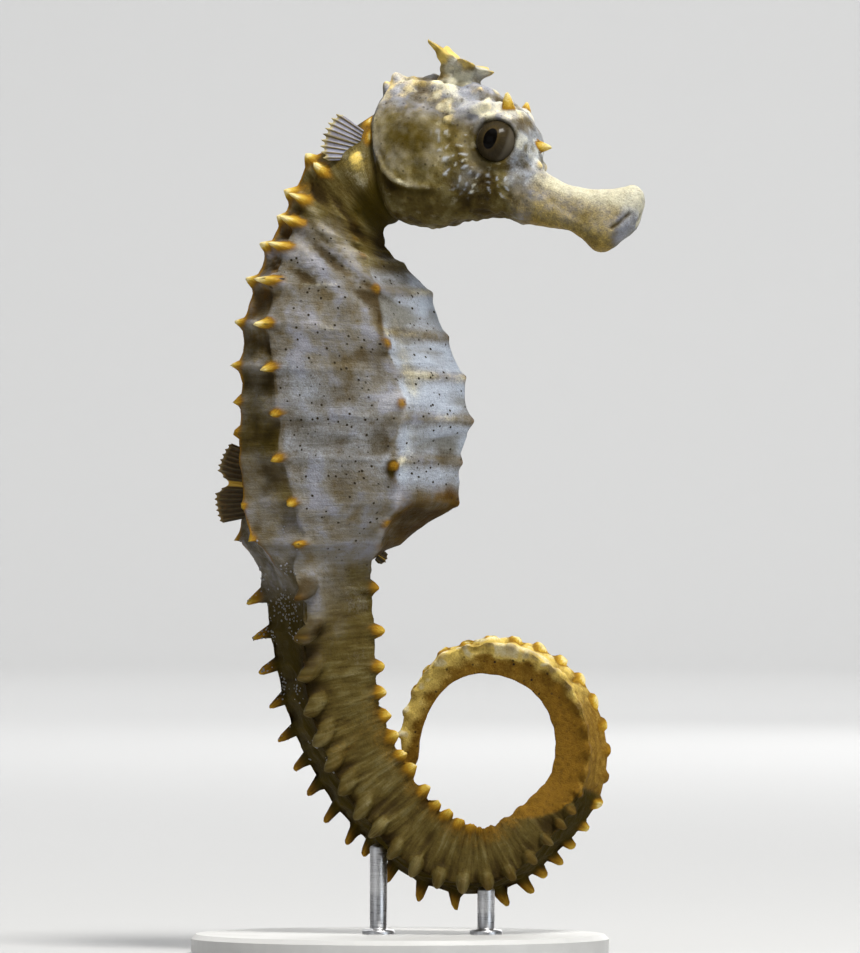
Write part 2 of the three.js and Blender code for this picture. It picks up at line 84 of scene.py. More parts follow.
def mix(a: Array | float, b: Array | float, share: Array | float) -> Array:
    """The value a share of the way from a to b."""
    return a + (b - a) * share


def unit(vectors: Array) -> Array:
    """Vectors scaled to length one along the last axis."""
    return vectors / np.maximum(np.linalg.norm(vectors, axis=-1, keepdims=True), 1e-12)


def span(value: Array, low: float, high: float, stay: float, end: float) -> Array:
    """A soft window: up from low to high, and down from stay to end."""
    return smooth(low, high, value) * smooth(end, stay, value)


def most(*values: Array) -> Array:
    """The greatest of several values, place by place."""
    return reduce(np.maximum, values)


def hump(distance: Array, width: float) -> Array:
    """A round hump, 1 in its middle and gone past about two widths."""
    return np.exp(-((distance / width) ** 2))


def cubic(share: Array, start: Array, leave: Array, end: Array, arrive: Array) -> Array:
    """The value a share of the way along a cubic, from its ends and its slopes there."""
    u, u2, u3 = share, share**2, share**3
    level = 3 * u2 - 2 * u3
    return (1 - level) * start + (u3 - 2 * u2 + u) * leave + level * end + (u3 - u2) * arrive


def through(knots: Array | Sequence, at: Array | float) -> Array:
    """A smooth curve through knots, flat beyond its ends.

    Args:
        knots: Rows of a place and the values there, in order of place.
        at: The places wanted.

    Returns:
        The values, with one more axis than at when a knot holds more than one value.
    """
    table = np.asarray(knots, float)
    place, value = table[:, 0], table[:, 1:]
    wanted = np.clip(np.asarray(at, float), place[0], place[-1])
    i = np.clip(np.searchsorted(place, wanted, side="left") - 1, 0, len(place) - 2)
    after = np.minimum(np.arange(len(place)) + 1, len(place) - 1)
    before = np.maximum(np.arange(len(place)) - 1, 0)
    slope = (value[after] - value[before]) / (place[after] - place[before])[:, None]
    h = (place[i + 1] - place[i])[..., None]
    u = (wanted[..., None] - place[i][..., None]) / h
    result = cubic(u, value[i], h * slope[i], value[i + 1], h * slope[i + 1])
    return result[..., 0] if table.shape[1] == 2 else result


def grain(points: Array, size: float, seed: int) -> Array:
    """Soft random lumps of about one size, from -1 to 1, the same for the same seed.

    Args:
        points: Places in millimetres, three to a row.
        size: Distance between lumps in millimetres.
        seed: Picks the pattern.

    Returns:
        One value for each place.
    """
    p = points / size + seed * 17.13
    cell = np.floor(p).astype(np.int64)
    f = p - cell
    f = f * f * (3 - 2 * f)
    total = np.zeros(p.shape[:-1])
    for corner in range(8):
        step = np.array([corner & 1, corner >> 1 & 1, corner >> 2 & 1])
        q = cell + step
        key = (q[..., 0] * 73856093) ^ (q[..., 1] * 19349663) ^ (q[..., 2] * 83492791) ^ (seed * 2654435761)
        key = (key ^ (key >> 13)) * 1274126177 & 0x7FFFFFFF
        weight = np.prod(np.where(step == 1, f, 1 - f), axis=-1)
        total += weight * ((key % 65536) / 32767.5 - 1.0)
    return total


# -------------------- the body's line


@dataclass(frozen=True)
class HeadPlace:
    """Where the head's own frame lies: its middle plane level with the eyes, its dip and its turn."""

    centre: Triple = (12.0, -3.45, 88.8)
    dip: float = 20.0
    turn: float = -16.0

    def matrix(self) -> Matrix:
        """The head's frame in the object's, in millimetres."""
        turns = ((self.dip, "Y"), (self.turn, "Z"))
        dip, turn = (Matrix.Rotation(math.radians(angle), 4, axis) for angle, axis in turns)
        return Matrix.Translation(self.centre) @ dip @ turn

    def out(self, points: Array) -> Array:
        """Points of the head's frame, in the object's."""
        m = np.array(self.matrix())
        return points @ m[:3, :3].T + m[:3, 3]

    def turned(self, vector: Sequence[float]) -> Array:
        """A direction of the head's frame, in the object's."""
        return np.array(self.matrix())[:3, :3] @ np.asarray(vector, float)


@dataclass(frozen=True)
class Coil:
    """The round coil of the tail, in the middle plane."""

    x: float = 9.6
    z: float = 22.4
    entry: float = 12.5
    radius: float = 10.3
    tip: float = 9.0
    start: float = -145.0
    end: float = 185.0
    steps: int = 24
    drift: float = 6.8


@dataclass(frozen=True)
class RingPitch:
    """How the tail's rings close up from the vent towards the tip."""

    base: float = 2.0
    floor: float = 2.35
    decay: float = 3.5

    def share(self, rings: Array) -> Array:
        """How far along the tail each ring lies, from 0 at the first of them to 1 at the last."""
        k = rings - rings[0]
        run = self.floor * k + self.base * self.decay * (1 - np.exp(-k / self.decay))
        return run / run[-1]


@dataclass
class Frames:
    """Section frames at many rings: middle, the ways to the belly and the left, and half sizes."""

    centre: Array
    belly: Array
    left: Array
    depth: Array
    width: Array
    drop: Array


@dataclass
class BodyLine:
    """The line the body is threaded on, from the nape to the tip of the tail."""

    head: HeadPlace = field(default_factory=HeadPlace)
    coil: Coil = field(default_factory=Coil)
    pitch: RingPitch = field(default_factory=RingPitch)
    nape: Pair = (-15.6, -1.6)
    throat: Pair = (-9.3, -11.7)
    neck_half_width: float = 3.7
    neck_drop: float = 2.2
    # ring, x, z, tilt, turn, roll, half depth, half width, drop of the lateral ridge
    trunk: tuple[tuple[float, ...], ...] = (
        (1, -5.3, 83.6, -43, 10, 0, 5.4, 3.9, 1.8),
        (2, -6.4, 81.0, -26, 5, 0, 5.6, 4.4, 1.7),
        (3, -6.9, 79.0, -17, 2, 0, 6.0, 4.9, 1.7),
        (4, -6.9, 76.8, -7, 0, 0, 7.3, 5.5, 1.9),
        (5, -6.2, 73.2, -4, 0, 0, 9.5, 6.2, 2.2),
        (6, -6.0, 68.5, -4, 0, 0, 11.1, 6.8, 3.0),
        (7, -5.2, 63.9, -3, 0, 0, 12.0, 7.1, 3.7),
        (8, -4.8, 59.0, -2, 0, 0, 12.5, 7.1, 4.4),
        (9, -5.4, 54.3, -1, 0, 0, 12.0, 6.8, 4.9),
        (10, -5.6, 49.6, 0, 0, 6, 11.7, 6.2, 5.6),
        (10.5, -7.0, 47.3, 0, 0, 12, 10.3, 5.8, 5.6),
        (11, -8.1, 45.0, 0, 0, 20, 8.5, 5.4, 5.0),
        (11.5, -9.2, 42.7, 0, 0, 28, 6.3, 4.9, 3.0),
    )
    tail_hang: Knots = (
        (-9.1, 39.9), (-8.8, 36.7), (-8.4, 33.0), (-7.9, 29.0), (-6.8, 25.2), (-5.3, 21.7), (-3.4, 18.4),
    )
    tip_run: Knots = ((-0.2, 19.4), (-1.2, 17.2))
    # ring, half side of the square section, roll
    tail_sizes: tuple[tuple[float, float, float], ...] = (
        (12, 4.5, 34), (13, 4.37, 31), (14, 4.23, 27), (17, 3.8, 22), (20, 3.53, 18), (23, 3.35, 14),
        (27, 2.78, 14), (30, 2.33, 24), (33, 2.05, 26), (37, 1.8, 18), (41, 1.55, 10), (44, 1.25, 5),
        (47, 0.9, 0), (49, 0.45, 0),
    )
    table: Array = field(init=False)

    def __post_init__(self) -> None:
        """Works out the table of section frames."""
        self.table = self._knots()

    def _tail_line(self) -> Array:
        """The tail's middle line as closely spaced points."""
        c = self.coil
        points = [(x, 0.0, z) for x, z in self.tail_hang]
        top = smooth(-120, 260, c.end)
        for i in range(c.steps + 1):
            angle = mix(c.start, c.end, i / c.steps)
            r = c.radius + (c.entry - c.radius) * (1 - smooth(-100, -50, angle))
            r -= (c.radius - c.tip) * smooth(100, 165, angle)
            drift = c.drift * smooth(-120, 260, angle) / top
            a = math.radians(angle)
            points.append((c.x + r * math.cos(a), drift, c.z + r * math.sin(a)))
        points += [(x, c.drift * 1.02, z) for x, z in self.tip_run]
        p = np.array(points)
        p = np.vstack([2 * p[0] - p[1], p, 2 * p[-1] - p[-2]])
        line = []
        for a, b, c2, d in zip(p[:-3], p[1:-2], p[2:-1], p[3:], strict=True):
            t0, t1, t2 = (math.sqrt(np.linalg.norm(v)) for v in (b - a, c2 - b, d - c2))
            m1 = ((b - a) / t0 - (c2 - a) / (t0 + t1) + (c2 - b) / t1) * t1
            m2 = ((c2 - b) / t1 - (d - b) / (t1 + t2) + (d - c2) / t2) * t1
            u = np.linspace(0, 1, 40, endpoint=False)[:, None]
            line.append(cubic(u, b, m1, c2, m2))
        return np.vstack([*line, p[-2:-1]])

    def _axes(self, tilt: float, turn: float, roll: float) -> Array:
        """A section's unit vectors towards the belly and the left side, one after the other."""
        t, s, r = (math.radians(v) for v in (tilt, turn, roll))
        belly = np.array([math.cos(t) * math.cos(s), -math.cos(t) * math.sin(s), math.sin(t)])
        left = np.array([math.sin(s), math.cos(s), 0.0])
        return np.append(belly * math.cos(r) + left * math.sin(r), left * math.cos(r) - belly * math.sin(r))

    def _knots(self) -> Array:
        """Section frames in ring order: ring, middle, belly, left, half depth, half width, drop."""
        nape, throat = (self.head.out(np.array([x, 0, z])) for x, z in (self.nape, self.throat))
        half = np.linalg.norm(throat - nape) / 2
        left = self.head.turned((0, 1, 0))
        sizes = (half, self.neck_half_width, self.neck_drop)
        rows = [[0, *((nape + throat) / 2), *unit(throat - nape), *left, *sizes]]
        for ring, x, z, tilt, turn, roll, *sizes in self.trunk:
            rows.append([ring, x, 0, z, *self._axes(tilt, turn, roll), *sizes])
        line = self._tail_line()
        run = np.concatenate([[0], np.cumsum(np.linalg.norm(np.diff(line, axis=0), axis=1))])
        rings = np.arange(TRUNK_RINGS + 1, LAST_RING + 1)
        for ring, share in zip(rings, self.pitch.share(rings), strict=True):
            at = share * run[-1] + np.array((0, 0.05, -0.05))
            point, ahead, behind = np.stack([np.interp(at, run, line[:, k]) for k in range(3)], -1)
            heading = ahead - behind
            side, roll = through(self.tail_sizes, ring)
            axes = self._axes(math.degrees(math.atan2(heading[0], -heading[2])), 0, roll)
            rows.append([ring, *point, *axes, side, side, 0])
        return np.array(rows)

    def at(self, ring: Array | float) -> Frames:
        """The section frames at any ring numbers, whole or not."""
        v = through(self.table, ring)
        belly = unit(v[..., 3:6])
        left = v[..., 6:9]
        left = unit(left - belly * np.sum(left * belly, axis=-1, keepdims=True))
        return Frames(v[..., 0:3], belly, left, v[..., 9], v[..., 10], v[..., 11])


# -------------------- the skin's form


class Corner(Enum):
    """The points of a half outline, from mid back to mid belly."""

    BACK = 0
    SUPERIOR = 1
    LATERAL = 2
    FLANK = 3
    INFERIOR = 4
    VENTRAL = 5
    KEEL = 6


FLAT: Knots = ((0, 0.0), (LAST_RING, 0.0))


@dataclass(frozen=True)
class SpineRow:
    """The spines along one ridge, one to a ring.

    The tables hold a ring number and a size in millimetres: height, half length along the ridge, half width
    across it, lean of the tip towards the tail, and sweep of the tip towards the belly. The others hold the
    strength of the gold paint, and how many rings a spine stands past its ring.
    """

    corner: Corner
    height: Knots
    along: Knots
    across: Knots
    paint: Knots
    taper: Pair
    lean: Knots = FLAT
    sweep: Knots = FLAT
    shift: Knots = FLAT
    trunk_taper: Pair = (1.4, 1.1)
    root: float = 0.3
    far_paint: float = 1.0
    near_height: float = 1.0


SPINES = (
    SpineRow(
        Corner.SUPERIOR,
        height=(
            (0, 0.7), (1, 1.2), (2, 1.05), (3, 0.55), (4, 0.95), (5, 1), (6, 1), (7, 1.15), (8, 1),
            (9, 0.9), (10, 0.4), (11, 1.1), (12, 0),
        ),
        along=((0, 0.9), (4, 0.85), (7, 0.6), (12, 0.6)),
        across=((0, 0.9), (4, 0.9), (7, 0.6), (12, 0.6)),
        lean=((0, 0), (6, 0), (12, 0.2)),
        paint=((0, 1.4), (6, 1.3), (9, 0.9), (12, 0.8)),
        taper=(1.5, 1.05),
        root=0.22,
        shift=((0, 0), (7, 0), (8, -0.22), (9, -0.55), (10, 0.1), (11, -0.2), (12, 0)),
    ),
    SpineRow(
        Corner.LATERAL,
        height=(
            (0, 0.8), (1, 1.4), (2, 1.5), (5, 1.45), (6, 1.3), (8, 0.9), (10, 0.95), (11, 1.1),
            (12, 1.5), (13, 1.5), (20, 1.5), (25, 1.45), (28, 1.1), (31, 0.7), (34, 0.5), (37, 0.62),
            (42, 0.55), (45, 0.35), (49, 0.05),
        ),
        along=(
            (0, 0.7), (6, 0.6), (11, 0.62), (13, 0.62), (20, 0.62), (25, 0.66), (30, 0.7), (36, 0.8),
            (42, 0.7), (49, 0.3),
        ),
        across=(
            (0, 1), (6, 0.95), (11, 0.95), (13, 0.95), (20, 1), (25, 1.15), (30, 0.9), (36, 0.8),
            (42, 0.6), (49, 0.25),
        ),
        lean=((0, 0.1), (6, 0.3), (12, 0.5), (20, 0.5), (27, 0.2), (30, 0), (49, 0)),
        sweep=(
            (0, -0.5), (3, -0.8), (11, -0.8), (13, -0.75), (24, -0.7), (28, -0.45), (32, 0), (49, 0),
        ),
        paint=(
            (0, 1.4), (6, 1.3), (8, 0.85), (11, 0.8), (12, 0.22), (28, 0.18), (31, 0.3), (36, 0.9),
            (49, 0.6),
        ),
        taper=(3.4, 0.62),
        root=0.12,
        far_paint=3.8,
        near_height=0.12,
    ),
    SpineRow(
        Corner.INFERIOR,
        height=(
            (0, 0.15), (4, 0.3), (6, 0.4), (7, 0), (8, 0.45), (10, 0.45), (11, 0.3), (12, 0.9),
            (13, 1.15), (21, 1.1), (25, 0.45), (30, 0.12), (49, 0.02),
        ),
        along=((0, 0.8), (11, 0.9), (13, 0.85), (22, 0.8), (30, 0.7), (49, 0.4)),
        across=((0, 0.85), (11, 0.85), (13, 0.9), (22, 0.9), (30, 0.7), (49, 0.3)),
        lean=((0, 0.2), (12, 0.1), (49, 0)),
        paint=(
            (0, 0.1), (4, 0.28), (6, 0.4), (7, 0), (8, 0.4), (10, 0.4), (11, 0.25), (13, 0.75),
            (22, 0.8), (26, 0.3), (49, 0.2),
        ),
        taper=(2, 0.66),
        trunk_taper=(2, 0.9),
        root=0.15,
        shift=((0, 0), (5, 0), (6, 0.3), (7, 0), (8, -0.3), (9, 0.15), (10, 0.45), (11, 0), (49, 0)),
    ),
    SpineRow(
        Corner.KEEL,
        height=((0, 0), (4, 0.15), (7, 0.35), (8, 0.5), (9, 0.4), (10, 0.35), (11, 0.1), (12, 0)),
        along=((0, 1), (12, 1)),
        across=((0, 0.9), (12, 0.9)),
        paint=((0, 0.1), (5, 0.25), (12, 0.25)),
        taper=(1.4, 1.3),
    ),
)


@dataclass
class Half:
    """One side of the body's grid: places, rings, ways out and along, and what was painted on it."""

    side: int
    point: Array
    ring: Array
    across: Array
    along: Array
    paint: dict[str, Array]
    own_flow: Array | None = None

    def flow(self) -> Array:
        """Even coordinates along and round the animal in millimetres, which meet on the middle plane."""
        girth = self.across[:, -1:] / math.pi
        angle = self.across / np.maximum(girth, 1e-6)
        run = np.broadcast_to(self.along.mean(1, keepdims=True), self.along.shape)
        flow = np.stack([run, girth * np.cos(angle), girth * np.sin(angle) * self.side], -1)
        if self.own_flow is None:
            return flow
        return mix(flow, self.own_flow, smooth(0, -0.7, self.ring)[..., None])


def runs(point: Array) -> tuple[Array, Array]:
    """Lengths over a grid of places: across from its first column, and along from its first row."""
    steps = (np.diff(point, axis=axis, prepend=point.take([0], axis)) for axis in (1, 0))
    across, along = (np.linalg.norm(step, axis=2) for step in steps)
    return across.cumsum(1), along.cumsum(0)


def ways_out(point: Array, left: Array) -> Array:
    """The ways out of one side of a skin.

    Args:
        point: Its places, rows by columns from mid back to mid belly.
        left: The way towards that side, for all rows or for each.

    Returns:
        A unit vector for each place.
    """
    down, turn = np.gradient(point, axis=0), np.gradient(point, axis=1)
    turn[:, 0], turn[:, -1] = left, -left
    out = unit(np.cross(turn, down))
    return out * np.sign(np.sum(out[:, out.shape[1] // 2] * left))


@dataclass
class BodySkin:
    """The grid of the neck, trunk and tail, ridged, ringed and spined."""

    line: BodyLine
    spans: tuple[int, ...] = (7, 9, 10, 8, 7, 7)
    # how a span's columns close up: quarter turns of a sine where it starts and ends, and the sine's part
    eases: tuple[Triple, ...] = (
        (0, 1, 0.6), (-1, 1, 0.7), (-1, 0, 0.75), (0, 1, 0.75), (-1, 0, 0.6), (0, 1, 0.6),
    )
    rows_per_ring: int = 12
    tail_begins: Pair = (10.6, 12.4)
    # the side column where the rings' lengths are measured, the half width of full-size relief, and a seed
    pitch_column: int = 24
    full_width: float = 4.5
    seed: int = 40
    # each corner against the half depth and the half width, and how sharp it is
    trunk_corners: tuple[Triple, ...] = (
        (-0.93, 0, 0), (-1, 0.6, 0.9), (-1, 0.9, 0.9), (0, 1.02, 0), (0.42, 0.85, 0.6), (0.75, 0.44, 0),
        (1, 0, 0.75),
    )
    tail_corners: tuple[Triple, ...] = (
        (-0.93, 0, 0), (-0.95, 0.5, 0), (-1, 1, 0.9), (0, 0.97, 0), (1, 1, 0.8), (0.97, 0.5, 0), (0.94, 0, 0),
    )
    # ring and how far its ridges stand past it, on the left and on the right
    skew_left: Knots = (
        (0, 0), (21, 0), (23, 0.3), (24, 0.5), (25, 0.85), (26, 0.7), (27, 0.4), (29, 0.1), (31, 0),
        (49, 0),
    )
    skew_right: Knots = (
        (0, 0), (11.5, 0), (13, 0.25), (15, 0.6), (19, 0.75), (22, 0.9), (24, 0.8), (26, 0.55), (28.5, 0.6),
        (31, 0.1), (33, 0), (49, 0),
    )
    spines: tuple[SpineRow, ...] = SPINES

    def ring_rows(self) -> Array:
        """Ring numbers of the rows, closer together at each ring's crest."""
        half = self.rows_per_ring // 2
        step = np.arange(-half, half) / half
        offsets = 0.5 * np.sign(step) * np.abs(step) ** 1.3
        rows = (np.arange(0, LAST_RING + 1)[:, None] + offsets[None, :]).ravel()
        return np.concatenate([rows[(rows > 0.02) & (rows < LAST_RING - 0.03)], [LAST_RING]])

    def columns(self) -> tuple[Array, Array]:
        """Each half column's span of the outline, and its share of that span, from mid back to mid belly."""
        shares = []
        for count, (start, end, part) in zip(self.spans, self.eases, strict=True):
            s = np.arange(count) / count
            shares.append(mix(s, (np.sin(mix(start, end, s) * math.pi / 2) - start) / (end - start), part))
        last = len(shares) - 1
        return np.append(np.repeat(np.arange(last + 1), self.spans), last), np.concatenate([*shares, [1.0]])

    def corner_column(self, corner: Corner) -> int:
        """The half column that runs along a corner of the outline."""
        return sum(self.spans[: corner.value])

    def past_ridge(self, half: Half, corner: Corner) -> Array:
        """How far each point lies from a ridge, towards the belly."""
        column = self.corner_column(corner)
        return half.across - half.across[:, column : column + 1]

    def base(self, ring: Array, head_outline: Callable[[Array], Array]) -> Array:
        """Section coordinates of every grid point of one side, before any relief.

        Args:
            ring: Ring number of each point, rows by half columns.
            head_outline: The outline where the head begins, for half sizes of one.

        Returns:
            Towards-the-belly and out-to-the-side coordinates.
        """
        frames = self.line.at(ring)
        size = np.stack([frames.depth, frames.width], -1)
        tail = smooth(*self.tail_begins, ring)
        table = mix(np.array(self.trunk_corners), np.array(self.tail_corners), tail[..., None, None])
        corners, sharp = table[..., :2] * size[..., None, :], table[..., 2:]
        corners[..., Corner.LATERAL.value, 0] += frames.drop * (1 - tail)
        mirror = corners * (1, -1)
        before = np.concatenate([mirror[..., 1:2, :], corners[..., :-1, :]], -2)
        after = np.concatenate([corners[..., 1:, :], mirror[..., -2:-1, :]], -2)
        slack = (after - before) / 2
        leave = mix(slack, after - corners, sharp)
        arrive = mix(slack, corners - before, sharp)
        number, share = self.columns()
        rows, cols = np.indices(ring.shape)
        here, there = (rows, cols, number[cols]), (rows, cols, number[cols] + 1)
        point = cubic(share[cols][..., None], corners[here], leave[here], corners[there], arrive[there])
        return mix(head_outline(ring) * size, point, smooth(0, 1.3, ring)[..., None])

    def _spine_relief(self, row: SpineRow, half: Half, out: Array, jitter: np.random.Generator) -> Array:
        """How far one ridge's spines move each point of a side.

        Args:
            row: The ridge's spines.
            half: The side, before its spines.
            out: The way out of the skin at each point.
            jitter: Source of small differences between spines.

        Returns:
            A shift for each point. The side's spine paint is raised too.
        """
        column = self.corner_column(row.corner)
        rings = np.arange(LAST_RING + 1)
        stand = rings + through(row.shift, rings)
        spine = np.abs(half.ring[:, 0, None] - stand).argmin(1)[:, None] * np.ones_like(half.ring, int)
        ridge = half.ring[:, column], half.along[:, column]
        odd = jitter.uniform(-1, 1, (3, len(rings)))
        tables = (row.height, row.along, row.across, row.lean, row.sweep, row.paint)
        height, reach, width, lean, sweep, tone = (through(table, rings) for table in tables)
        height = (height * (1 + 0.16 * odd[0]))[spine]
        lean = (lean * (1 + 0.2 * odd[1]))[spine]
        sweep = (sweep + 0.12 * odd[2])[spine]
        lengthwise = (np.interp(half.ring, *ridge) - np.interp(stand, *ridge)[spine]) / reach[spine]
        rho = np.hypot(lengthwise, self.past_ridge(half, row.corner) / width[spine])
        rho = rho * (1 + 0.26 * grain(half.point, 0.5, 61))
        tails = smooth(11, 13, stand)[spine]
        inner, outer = (mix(a, b, tails) for a, b in zip(row.trunk_taper, row.taper, strict=True))
        rise = np.where(rho < 1, (1 - np.minimum(rho, 1) ** inner) ** outer, 0.0)
        skirt = hump(rho, 1.25) * row.root

        def at_spines(vectors: Array) -> Array:
            """Vectors along the ridge, taken at each point's spine."""
            return np.stack([np.interp(rings, ridge[0], part) for part in vectors.T], -1)

        way = unit(at_spines(out[:, column]))[spine]
        tailward = at_spines(unit(np.gradient(half.point[:, column], ridge[1], axis=0)))[spine]
        bellyward = unit(np.cross(tailward, way)) * half.side
        share = np.clip(height / 0.3, 0, 1)
        if half.side < 0:
            height = height * mix(1, row.near_height, span(stand, 11.5, 12.5, 29, 31)[spine])
        else:
            tone = np.where(rings > TRUNK_RINGS, tone * row.far_paint, tone)
        share = share * tone[spine] * (1 - 0.22 * np.clip(lengthwise, -1, 1))
        half.paint["spine"] = most(half.paint["spine"], np.minimum(rise * share, 1))
        half.paint["root"] = most(half.paint["root"], hump(rho, 1.5) * share)
        move = way * (height * (rise * (1 - row.root) + skirt))[..., None]
        move += tailward * (lean * rise**1.3 * height / 1.5)[..., None]
        return move + bellyward * (sweep * rise**1.15 * height)[..., None]

    def _faces(self, half: Half) -> dict[str, Array]:
        """Where each long face of the body lies, as soft weights over a side."""
        ragged = 1.3 * grain(half.point, 1.7, 60) * smooth(0.5, 2, half.ring)
        columns = np.arange(half.ring.shape[1])[None, :] + ragged
        corners = (Corner.SUPERIOR, Corner.LATERAL, Corner.INFERIOR)
        superior, lateral, inferior = map(self.corner_column, corners)
        tail = smooth(*self.tail_begins, half.ring)
        past = columns - mix(superior, -2.0, tail)
        return {
            "tail": tail,
            "dorsal": smooth(-1.5, 1, past) * smooth(lateral + 0.6, lateral - 1.2, columns),
            "back": smooth(1, -1.5, past),
            "belly": smooth(inferior - 1, inferior + 1.5, columns),
            "flank": span(columns, lateral - 0.5, lateral + 2, inferior - 2, inferior),
        }

    def _arms(self, half: Half, pitch: Array, small: Array) -> Array:
        """The oval arms of the rings that run out onto the tail's sides.

        Args:
            half: The side, with its faces painted.
            pitch: The length of a ring at each row.
            small: The body's size there, against the trunk's.

        Returns:
            Their height at each point, from 0 to 1.
        """
        ring = half.ring
        off = (ring - np.rint(ring)) * pitch
        reach = self.past_ridge(half, Corner.LATERAL)
        slope = mix(0.85, 0.1, smooth(15, 22, ring))
        lower = smooth(17, 22, ring)
        long, wide = mix(2.05, 1.4, lower) * small, mix(1.12, 1.02, lower) * small
        tip = -0.7 if half.side < 0 else 0.5
        arm = np.zeros_like(ring)
        for beyond in (off, off - pitch):
            lengthwise = (reach - slope * beyond) / np.hypot(1, slope) - tip * small - long
            sideways = (slope * reach + beyond) / np.hypot(1, slope)
            oval = 1 - (lengthwise / long) ** 2 - (sideways / wide) ** 2
            arm = most(arm, np.clip(oval, 0, 1) ** 0.6)
        return arm * span(ring, 10.5, 12.5, 29, 31.5)

    def _relief(self, half: Half, small: Array) -> Array:
        """How far rings, ridges, lumps and creases push the skin of a side out.

        Args:
            half: The side, with its faces painted. What its markings need is painted on it too.
            small: The body's size at each point, against the trunk's.

        Returns:
            A height for each point.
        """
        p, ring, point, flow = half.paint, half.ring, half.point, half.flow()
        tail, dorsal, belly, flank = (p[name] for name in ("tail", "dorsal", "belly", "flank"))
        trunk = 1 - tail
        column = np.arange(ring.shape[1])[None, :]
        pitch = np.gradient(half.along[:, self.pitch_column], ring[:, 0])[:, None]
        coil = smooth(30.6, 31.6, ring + 3.8 * smooth(16, 34, column))
        upper = smooth(8.5, 5.5, ring)
        patchy = 0.6 + 0.7 * grain(point, 3.2, 4)
        bar = hump((ring - np.rint(ring)) * pitch, 0.5 * small + 0.1) * (
            0.34 * dorsal * small * (0.4 * tail + trunk * (0.1 + 0.9 * upper))
            + 0.16 * belly * trunk
            + 0.19 * trunk * patchy * flank
            + 0.1 * tail * small * patchy
        )
        hollow = (0.06 + 0.26 * dorsal * (0.4 + 0.6 * upper) * trunk + 0.12 * p["back"]) * small
        bar = bar - hollow * np.abs(np.sin(math.pi * ring))
        p["pebble"] = grain(point, 0.85, 20)
        lumps = 0.34 * grain(point, 4.4, 2) * trunk * (1 - dorsal) + 0.22 * grain(point, 2.3, 5)
        lumps += 0.22 * dorsal * trunk * grain(point, 1.3, 15)
        lumps += 0.1 * grain(point, 1.1, 6) + 0.12 * tail * grain(point, 1.5, 19)
        rough_arc = coil * smooth(34, 37, ring) * (1.1 - smooth(8, 30, column))
        lumps += rough_arc * (0.45 * grain(point, 1.4, 9) + 0.95 * p["pebble"])
        wrinkles = 0.09 * grain(flow / (0.62, 4, 4), 1, 8)
        wrinkles += 0.08 * grain(flow / (0.33, 2.4, 2.4), 1, 18)
        wrinkles *= (0.55 * trunk + 1.25 * tail) * (1 - 0.85 * coil) * small
        slant = flow * (1, 0.2, 0.2)
        slant[..., 0] -= 0.55 * half.across
        creases = 0.42 * grain(slant / (1.1, 1, 1), 1, 12)
        creases += 0.2 * grain(slant / (0.5, 0.6, 0.6), 1, 16)
        creases *= span(ring, 0.5, 1.5, 4.5, 7.5) * span(column, 6, 14, 34, 42)
        p["folds"] = 3.0 * wrinkles + 2.0 * creases
        throat = 1 - smooth(3.8, 2.2, ring) * smooth(22, 34, column)
        relief = bar * (1 - 0.9 * coil) * throat + lumps * small + wrinkles + creases
        # the lower ridge with the groove beside it
        belt = p["belt"] = self.past_ridge(half, Corner.INFERIOR)
        relief += (0.3 * hump(belt, 0.9) - 0.22 * hump(belt - 2.6, 1.5)) * trunk * smooth(4, 6, ring)
        # the tail's ring arms, the fine rings between them and the groove at their roots
        arm = p["arm"] = self._arms(half, pitch, small)
        relief += (1 + 0.35 * smooth(17, 22, ring)) * arm * small
        fine = np.sin(6 * math.pi * ring + 2.5 * grain(point, 2.6, 28)) * smooth(13, 17, ring)
        relief += 0.06 * fine * (1 - coil) * (1 - arm) * (1 - dorsal) * small
        gap = hump(self.past_ridge(half, Corner.LATERAL) - 0.3, 2) * (1 - np.minimum(1, 1.6 * arm)) * tail
        return relief - 0.36 * gap * small * smooth(31, 29, ring)

    def build_half(self, side: int, head_outline: Callable[[Array], Array]) -> Half:
        """One side of the grid, with its relief and paint.

        Args:
            side: 1 for the left side, -1 for the right.
            head_outline: The outline where the head begins.

        Returns:
            The finished side.
        """
        rows = self.ring_rows()
        count = sum(self.spans) + 1
        ring = np.repeat(rows[:, None], count, 1)
        column = np.arange(count)
        edge = span(column, 0, self.spans[0], count - 1 - self.spans[-1], count - 1)
        placed = ring + through(self.skew_left if side > 0 else self.skew_right, rows)[:, None] * edge
        frames = self.line.at(placed)
        flat = self.base(placed, head_outline)
        point = frames.centre + frames.belly * flat[..., 0:1] + frames.left * (flat[..., 1:2] * side)
        half = Half(side, point, ring, *runs(point), paint={"spine": 0 * ring, "root": 0 * ring})
        half.paint.update(self._faces(half))
        near_head = smooth(0.2, 1.4, ring)
        relief = self._relief(half, np.clip(frames.width / self.full_width, 0.25, 1)) * near_head
        out = ways_out(point, frames.left[:, 0] * side)
        move = out * relief[..., None]
        jitter = np.random.default_rng(self.seed + side)
        for spines in self.spines:
            move += self._spine_relief(spines, half, out, jitter) * near_head[..., None]
        # the lobe behind the gill cover, and the knot on it
        lobe = np.exp(-(((ring - 0.42) / 0.3) ** 2) - ((column - 23) / 8.5) ** 2)
        knot = np.exp(-(((ring - 0.34) / 0.085) ** 2) - ((column - 22) / 1.9) ** 2)
        half.point = point + move + out * (1.0 * lobe + 0.55 * knot)[..., None]
        crest = hump(self.past_ridge(half, Corner.SUPERIOR), 0.34)
        half.paint.update(lobe=lobe, knot=knot, crest=crest, relief=relief + 0.3 * lobe)
        return half


# -------------------- the head's form


@dataclass(frozen=True)
class Swelling:
    """A soft lump or hollow on both sides of the head, pushed along the skin's way out."""

    at: Triple
    size: Triple
    height: float


